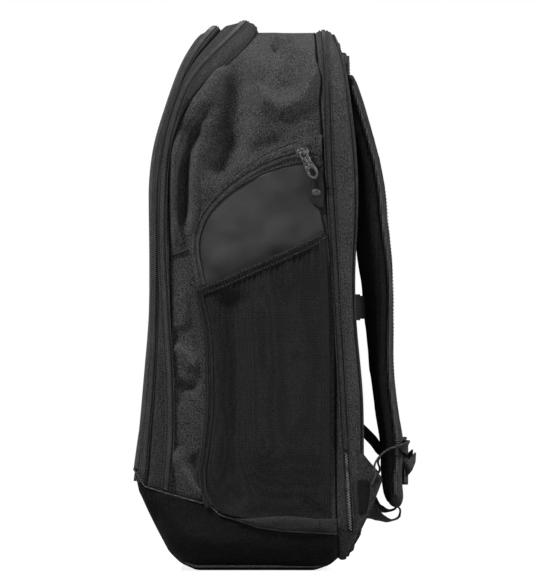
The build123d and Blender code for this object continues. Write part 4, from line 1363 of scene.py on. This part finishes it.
def rounded_pad(name, cx, cz, half_x, half_z, corner, base_y, height, channels, seed):
    """A crowned pad on the back panel, its rim drawn down to a seam, with sewn channels across it."""
    turn = np.linspace(0, 2 * math.pi, 160, endpoint=False)
    rim = np.stack([np.cos(turn), np.sin(turn)], 1)
    sx = half_x - corner
    sz = half_z - corner
    straight = np.stack([np.clip(rim[:, 0] * half_x * 1.6, -sx, sx),
                         np.clip(rim[:, 1] * half_z * 1.6, -sz, sz)], 1)
    rim = straight + corner * rim
    shrink = np.append(np.linspace(0.02, 0.8, 30), [0.85, 0.89, 0.93, 0.96, 0.985, 1.0])
    flat = rim[None] * shrink[:, None, None]
    d = np.minimum(half_x - np.abs(flat[..., 0]), half_z - np.abs(flat[..., 1]))
    q = np.clip(d / 9.0, 0, 1) * smooth((1 - shrink) / 0.06)[:, None]
    x = cx + flat[..., 0]
    z = cz + flat[..., 1]
    lift = height * np.sqrt(np.maximum(1 - (1 - q) ** 2, 0))
    for level in channels:
        lift = lift - height * 0.6 * np.exp(-((z - level) / 2.6) ** 2) * q
    pos = np.stack([x, base_y(z) + lift, z], axis=2)
    pos[..., 1] += 0.3 * noise(pos, (18, 10, 18), seed) * q
    return grid_object(name, pos, grid_uv(pos), MIDDLE, close_columns=True)


pads_low, pads_high = box("back_pads")
lumbar_low, lumbar_high = box("lumbar_pad")
pad_half_x = 50.0
pad_centre = (pads_high[0] - pad_half_x)
PADS = (
    ("back_pad_cover_right", pad_centre, (pads_low[2] + pads_high[2]) / 2, pad_half_x,
     (pads_high[2] - pads_low[2]) / 2, 22.0, (232, 290, 348), ["back_pads"]),
    ("back_pad_cover_left", -pad_centre, (pads_low[2] + pads_high[2]) / 2, pad_half_x,
     (pads_high[2] - pads_low[2]) / 2, 22.0, (232, 290, 348), []),
    ("lumbar_pad_cover", 0.0, (lumbar_low[2] + lumbar_high[2]) / 2, lumbar_high[0],
     (lumbar_high[2] - lumbar_low[2]) / 2, 24.0, (89, 127), ["lumbar_pad"]),
)
for name, cx, cz, half_x, half_z, corner, channels, replaced in PADS:
    pad = rounded_pad(name, cx, cz, half_x, half_z, corner, back_high, 3.0, channels, 95)
    finish_piece(pad, "bag", SPACER, replaced, solid=0.8)


# Sliders and pullers ------------------------------------------------------------
def local_points(name, axes):
    return MESHES[name][0] @ np.array(axes).T


def rings_object(name, rings, close_rows=False):
    rings = np.array(rings)
    rows, columns = rings.shape[:2]
    faces = grid_faces(rows, columns, close_columns=True, close_rows=close_rows)
    if not close_rows:
        faces.append(tuple(range(columns - 1, -1, -1)))
        faces.append(tuple((rows - 1) * columns + k for k in range(columns)))
    return mesh_object(name, rings.reshape(-1, 3), faces)


def zip_slider(node, body, tangent, outward, grow=1.0):
    """A slider: a shield-shaped body, a lower plate edge and a raised crown that holds the bail."""
    tangent = unit(tangent)
    outward = unit(outward)
    across = np.cross(outward, tangent)
    axes = np.array([tangent, across, outward])
    points = local_points(node, axes)
    low = points.min(0)
    high = points.max(0)
    length = (high[0] - low[0]) * grow
    width = (high[1] - low[1]) * grow
    middle = (low + high) / 2
    tall = min(3.6, high[2] - low[2])
    turn = np.linspace(0, 2 * math.pi, 40, endpoint=False)
    waist = 1 - 0.16 * np.cos(2 * turn) ** 2 - 0.1 * np.cos(turn)
    along = np.sign(np.cos(turn)) * np.abs(np.cos(turn)) ** 0.75 * length / 2
    side = np.sign(np.sin(turn)) * np.abs(np.sin(turn)) ** 0.75 * width / 2 * waist

    def ring(scale, height):
        local = np.stack([middle[0] + along * scale, middle[1] + side * scale,
                          np.full(40, low[2] + height)], 1)
        return local @ axes

    body_piece = rings_object(f"{node}_body", [
        ring(0.9, 0.0), ring(1.0, 0.3), ring(1.0, 1.0), ring(0.86, 1.2), ring(0.86, 1.7), ring(1.0, 1.9),
        ring(1.0, tall - 0.8), ring(0.9, tall - 0.3), ring(0.7, tall), ring(0.3, tall + 0.15)])
    turn = np.linspace(0, math.pi, 15)
    arch = np.stack([middle[0] - 0.34 * length * np.cos(turn), np.full(15, middle[1]),
                     low[2] + tall - 0.3 + (high[2] - low[2] - tall) * 0.9 * np.sin(turn) ** 0.7], 1) @ axes
    crown = tube(f"{node}_crown", arch, 1.15, 10)
    whole = joined(f"{node}_cast", [body_piece, crown])
    finish_piece(whole, body, METAL, [node])


def holed_plate(name, outline, centre, hole, thick, axes, origin):
    """A plate with an oval hole and softened rims. Its outline is (along, across) points round the hole."""
    closed = np.vstack([outline, outline[:1]])
    run = np.append(0, np.cumsum(np.linalg.norm(np.diff(closed, axis=0), axis=1)))
    even = np.linspace(0, run[-1], 400)
    edge = np.stack([np.interp(even, run, closed[:, k]) for k in range(2)], 1) - centre
    angle = np.arctan2(edge[:, 1], edge[:, 0])
    order = np.argsort(angle)
    turn = np.linspace(-math.pi, math.pi, 48, endpoint=False)
    reach = np.interp(turn, angle[order], np.hypot(edge[:, 0], edge[:, 1])[order], period=2 * math.pi)
    direction = np.stack([np.cos(turn), np.sin(turn)], 1)
    outer = direction * reach[:, None]
    inner = direction * np.array(hole)
    rings = []
    for share, height in ((0.0, -0.3), (0.12, -0.5), (0.88, -0.5), (1.0, -0.25), (1.0, 0.25), (0.88, 0.5),
                          (0.12, 0.5), (0.0, 0.3)):
        flat = centre + inner + (outer - inner) * share
        local = np.hstack([flat, np.full((48, 1), height * thick)])
        rings.append(origin + local @ axes)
    rings = np.array(rings)
    return mesh_object(name, rings.reshape(-1, 3), grid_faces(8, 48, close_columns=True, close_rows=True))


def zip_puller(node, body, outward):
    """A cast puller: a square eye for the bail, a waist and a pointed end with an oval hole."""
    points = MESHES[node][0]
    centre = points.mean(0)
    _, vectors = np.linalg.eigh(np.cov((points - centre).T))
    along = vectors[:, 2] * (-1 if vectors[2, 2] > 0 else 1)
    outward = unit(outward)
    across = unit(np.cross(outward, along))
    outward = np.cross(along, across)
    axes = np.array([along, across, outward])
    local = points @ axes.T
    low = local.min(0)
    high = local.max(0)
    length = high[0] - low[0]
    half = (high[1] - low[1]) / 2 * 1.3
    thick = 1.7
    origin = np.array([low[0], (low[1] + high[1]) / 2, (low[2] + high[2]) / 2]) @ axes
    share = np.array([0.0, 0.05, 0.2, 0.42, 0.5, 0.62, 0.8, 0.93, 1.0])
    wide = np.array([0.55, 0.74, 0.8, 0.8, 0.84, 0.95, 1.0, 0.66, 0.16]) * half
    upper = [(s * length, w) for s, w in zip(share[:4], wide[:4])] + [(0.5 * length, 0.84 * half)]
    lower = [(s * length, w) for s, w in zip(share[4:], wide[4:])]
    parts = []
    for k, (half_line, spot, hole) in enumerate((
            (upper, 0.14, (0.075 * length, 0.34 * half)), (lower, 0.76, (0.135 * length, 0.5 * half)))):
        mirrored = [(a, -b) for a, b in reversed(half_line)]
        outline = np.array(half_line + mirrored)
        parts.append(holed_plate(f"{node}_plate_{k}", outline, np.array([spot * length, 0.0]), hole, thick,
                                 axes, origin))
    turn = np.linspace(0, 2 * math.pi, 24, endpoint=False)
    bail = np.stack([0.02 * length + 0.12 * length * np.cos(turn), 0.3 * half * np.sin(turn),
                     0.9 * thick * np.sin(turn)], 1) @ axes + origin
    parts.append(tube(f"{node}_bail", bail, 0.75, 8, closed=True))
    rib = np.stack([np.linspace(0.3, 0.52, 8) * length, np.zeros(8), np.full(8, thick * 0.42)], 1)
    rib = rib @ axes + origin
    parts.append(tube(f"{node}_rib", rib, 0.7, 8))
    finish_piece(joined(f"{node}_cast", parts), body, PULL_METAL, [node])


for side, sign in SIDES:
    node = f"side_slider_{side}"
    low, high = box(node)
    spoke = np.array([0, (low[1] + high[1]) / 2 - ZIP_Y, (low[2] + high[2]) / 2 - ZIP_Z])
    zip_slider(node, node, np.array([0, -spoke[2], spoke[1]]), np.array([sign, 0, 0]), 1.2)
    zip_puller(f"side_puller_{side}", f"side_puller_{side}", np.array([sign, 0, 0]))
for name in ("main_upper", "main_lower", "front", "racket_upper", "racket_lower"):
    zip_slider(f"{name}_slider", f"{name}_slider", np.array([0, 0, 1.0]), np.array([-1.0, 0, 0]))
    zip_puller(f"{name}_puller", f"{name}_puller", np.array([-1.0, 0, 0]))


# Webbing, handle and anchors ------------------------------------------------------------
def twisted(name, points, sides_of, widths, thick, count=90, pointed=False):
    """Webbing that turns over along its way: points, the direction across it at each, and its widths."""
    points = np.array(points, float)
    path = spline(points, count)
    own = np.linspace(0, 1, len(points))
    share = np.linspace(0, 1, count)
    across = np.stack([np.interp(share, own, np.array(sides_of, float)[:, k]) for k in range(3)], 1)
    ahead = unit(np.gradient(path, axis=0))
    across = unit(across - ahead * (across * ahead).sum(1, keepdims=True))
    normal = np.cross(ahead, across)
    width = np.interp(share, np.linspace(0, 1, len(widths)), widths)
    if pointed:
        width = width * np.sqrt(np.clip((1 - share) / 0.35, 0.02, 1))
    return ribbon(name, path, across, normal, width, thick, 0.2, 17)


for side, sign in SIDES:
    strap = f"strap_{side}"
    turn = np.array([sign, 1, 1])
    near_points = np.array([(157, 104, 80), (155, 107.5, 90), (151, 106.5, 100), (148, 113, 110),
                            (147.5, 122.5, 116), (146, 133, 118), (139, 137.5, 117), (124, 135.4, 116),
                            (108, 132.6, 115), (94, 130, 114.5)]) * turn
    near_across = np.array([(0.9, 0, 0.4), (1, 0, 0), (1, 0, 0), (1, 0, 0), (1, 0, 0), (0.75, 0, 0.66),
                            (0.2, 0, 1), (0, 0, 1), (0, 0, 1), (0, 0, 1)]) * turn
    if sign < 0:
        near_points[1:4, 1] += 6.0
    widths = [15, 15, 13, 12, 13, 15, 18, 19]
    web = twisted(f"near_webbing_{side}", near_points, near_across, widths, 1.9, 150)
    finish_piece(web, strap, WEBBING, [f"strap_webbing_{side}"], ride=False)
    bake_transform(web)

    lower_points = np.array([(132, 96, 60), (129, 103, 55), (125, 112, 49.5), (121, 121, 47), (118, 129, 50),
                             (117, 131, 57), (116.5, 127, 62)]) * turn
    lower_across = np.array([(0.2, -0.5, 0.85), (0.5, -0.4, 0.75), (0.85, -0.2, 0.45), (1, 0, 0.15),
                             (1, 0, 0), (1, 0, 0), (1, 0, 0)]) * turn
    if sign < 0:
        lower_points[1:6, 2] += 5.0
    web = twisted(f"foot_webbing_{side}", lower_points, lower_across, [20, 20, 22, 24, 24], 1.9, 100)
    finish_piece(web, strap, WEBBING, ["lower_webbing"] if sign > 0 else [], ride=False)
    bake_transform(web)

    tail_points = np.array([(112, 134, 93), (121, 136.5, 93), (128, 136, 95), (131, 139, 99),
                            (127, 142.5, 104), (121, 145.3, 111)])
    tail_across = np.array([(0, 0.1, 1), (0, 0.1, 1), (0.1, -0.3, 1), (0.1, -0.5, 0.85), (0.1, -0.5, 0.85),
                            (0.1, -0.5, 0.85)])
    widths = [16, 14, 12, 10, 7, 1.5]
    web = twisted(f"webbing_tail_{side}", tail_points * turn, tail_across * turn, widths, 1.7, 60)
    finish_piece(web, strap, TAIL)

    loop_points = np.array([(124, 131.5, 82), (113, 131.0, 84), (101, 129.6, 83)]) * turn
    web = twisted(f"lock_loop_{side}", loop_points, np.array([(0, 0.1, 1)] * 3) * turn, [14, 14, 14], 1.8, 30)
    finish_piece(web, strap, WEBBING)

far_points = np.array([(-140, 93, 134), (-134, 100, 127.5), (-128, 108, 119), (-124, 113, 112),
                       (-122, 118, 108)])
far_across = np.array([(0.5, 0.5, 0.7)] * 5)
web = twisted("far_webbing", far_points, far_across, [11, 11, 11], 1.8, 70)
finish_piece(web, "strap_left", WEBBING, ride=False)
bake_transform(web)

low, high = box("chest_webbing")
chest_y = (low[1] + high[1]) / 2
chest_z = (low[2] + high[2]) / 2
tall = high[2] - low[2]
male = box("buckle_male")[1][0]
female = box("buckle_female")[0][0]
for k, (a, b) in enumerate(((male - 2, high[0]), (low[0], female + 2))):
    xs = np.linspace(a, b, 30)
    path = np.stack([xs, chest_y - 0.5 * np.sin(np.linspace(0, np.pi, 30)), np.full(30, chest_z)], 1)
    web = ribbon(f"chest_strap_{k}", path, (0, 0, 1), (0, 1, 0), tall, 1.7, 0.15, 19)
    finish_piece(web, "sternum_strap", WEBBING, ["chest_webbing"] if k == 0 else [])
    fold_path = np.stack([np.linspace(a, a + 9, 10) if k == 0 else np.linspace(b - 9, b, 10),
                          np.full(10, chest_y + 1.6), np.full(10, chest_z)], 1)
    web = ribbon(f"chest_fold_{k}", fold_path, (0, 0, 1), (0, 1, 0), tall, 1.4, 0.1, 20)
    finish_piece(web, "sternum_strap", WEBBING)

low, high = box("grab_handle")
grip_y = (low[1] + high[1]) / 2
half = high[0] - 7
handle_points = [(half, grip_y, high[2] - 1), (half, grip_y + 0.4, high[2] - 18),
                 (half - 3, grip_y + 0.6, low[2] + 13),
                 (half - 14, grip_y + 0.6, low[2] + 7), (0, grip_y + 0.6, low[2] + 6)]
handle_points += [(-x, y, z) for x, y, z in handle_points[-2::-1]]
path = spline(handle_points, 120)
ahead = unit(np.gradient(path, axis=0))
across = np.cross(ahead, np.array([0, 1.0, 0]))
thick = 3.0 + 1.6 * smooth(1 - np.abs(np.linspace(-1, 1, 120)) / 0.45)
handle = ribbon("handle_loop", path, across, (0, 1, 0), 13.6, thick, 0.3, 23)
finish_piece(handle, "grab_handle", WEBBING, ["grab_handle"])
for k, shift in enumerate((-4.6, 4.6)):
    line = path + across * shift + np.stack([0 * thick, thick * 0.46, 0 * thick], 1)
    finish_piece(stitches(f"handle_stitch_{k}", line[6:-6], (0, 1, 0), 3.0, 0.6, 0.35), "grab_handle", THREAD)


def sewn_patch(name, low, high, body, replaced, seed):
    """A stack of webbing sewn down flat, with box and cross stitching on its outer face."""
    low = np.array(low, float)
    high = np.array(high, float)
    middle = (low + high) / 2
    size = high - low
    path = np.stack([np.linspace(low[0], high[0], 24), np.full(24, middle[1]), np.full(24, middle[2])], 1)
    patch = ribbon(name, path, (0, 0, 1), (0, 1, 0), size[2], size[1], 0.35, seed, 0.25)
    finish_piece(patch, body, WEBBING, replaced)
    x = size[0] / 2 - 3
    z = size[2] / 2 - 3
    corners = [(-x, -z), (x, -z), (x, z), (-x, z), (-x, -z), (x, z)]
    line = np.array([(middle[0] + a, high[1] + 0.1, middle[2] + b) for a, b in corners])
    run = np.vstack([np.linspace(a, b, 12, endpoint=False) for a, b in zip(line[:-1], line[1:])])
    finish_piece(stitches(f"{name}_stitch", run, (0, 1, 0), 2.6, 0.65, 0.35), body, THREAD)


ANCHOR_SHARE = 0.6
for node in ("strap_anchors", "handle_anchors"):
    points = MESHES[node][0]
    for side, sign in SIDES:
        own = points[points[:, 0] * sign > 0]
        low, high = own.min(0), own.max(0)
        if node == "handle_anchors":
            high[1] = low[1] + ANCHOR_SHARE * (high[1] - low[1])
        sewn_patch(f"{node}_{side}", low, high, "bag", [node] if sign > 0 else [], 29)


# Camera, light and floor ------------------------------------------------------------
def area_light(name, place, aim, size, power):
    lamp = bpy.data.lights.new(name, "AREA")
    lamp.shape = "DISK"
    lamp.size = size
    lamp.energy = power
    made = bpy.data.objects.new(name, lamp)
    made.location = place
    made.rotation_euler = (Vector(aim) - Vector(place)).to_track_quat("-Z", "Y").to_euler()
    bpy.context.scene.collection.objects.link(made)


area_light("top_light", (0.95, -1.15, 1.95), (0, 0, 0.35), 0.4, 84)
area_light("front_light", (0.9, -2.6, 1.0), (0, 0, 0.3), 0.7, 6)
area_light("side_fill", (2.4, 0.7, 0.7), (0, 0, 0.3), 1.2, 13)
area_light("back_light", (0.5, 2.3, 1.4), (0, 0, 0.3), 1.0, 70)

world = bpy.data.worlds.new("studio")
bpy.context.scene.world = world
world.use_nodes = True
background = world.node_tree.nodes["Background"]
background.inputs["Color"].default_value = (1, 1, 1, 1)
rays = world.node_tree.nodes.new("ShaderNodeLightPath")
strength = world.node_tree.nodes.new("ShaderNodeMapRange")
strength.inputs["To Min"].default_value = 0.1
strength.inputs["To Max"].default_value = 1.0
world.node_tree.links.new(rays.outputs["Is Camera Ray"], strength.inputs["Value"])
world.node_tree.links.new(strength.outputs["Result"], background.inputs["Strength"])
bpy.context.scene.view_settings.view_transform = "Standard"

# The floor glows only where the camera sees it, so the background is white and the bag isn't lit by it
FLOOR_GLOW = 0.85
floor_paint = Tree("floor")
floor_paint.links.new(floor_paint.ramp(floor_paint.noise(300, 2.0), 0.3, 0.34),
                      floor_paint.shader.inputs["Base Color"])
floor_paint.shader.inputs["Roughness"].default_value = 0.7
floor_paint.shader.inputs["Emission Color"].default_value = (1, 1, 1, 1)
seen = floor_paint.add("ShaderNodeLightPath").outputs["Is Camera Ray"]
floor_paint.links.new(floor_paint.math("MULTIPLY", seen, FLOOR_GLOW),
                      floor_paint.shader.inputs["Emission Strength"])
floor = mesh_object("floor", np.array([(-1600, -1600, -0.5), (1600, -1600, -0.5), (1600, 1600, -0.5),
                                       (-1600, 1600, -0.5)]), [(0, 1, 2, 3)])
floor.data.materials.append(floor_paint.material)

VIEW_HEIGHT = 563.0
VIEW_CENTRE = (0.0, 12.4, 261.7)
DISTANCE = 12000.0
camera_data = bpy.data.cameras.new("camera")
camera_data.sensor_width = 36
camera_data.lens = 36 * DISTANCE / VIEW_HEIGHT
camera_data.clip_start = 0.5
camera_data.clip_end = 100
camera = bpy.data.objects.new("camera", camera_data)
camera.location = (DISTANCE * MM, VIEW_CENTRE[1] * MM, VIEW_CENTRE[2] * MM)
camera.rotation_euler = (math.pi / 2, 0, math.pi / 2)
bpy.context.scene.collection.objects.link(camera)
bpy.context.scene.camera = camera
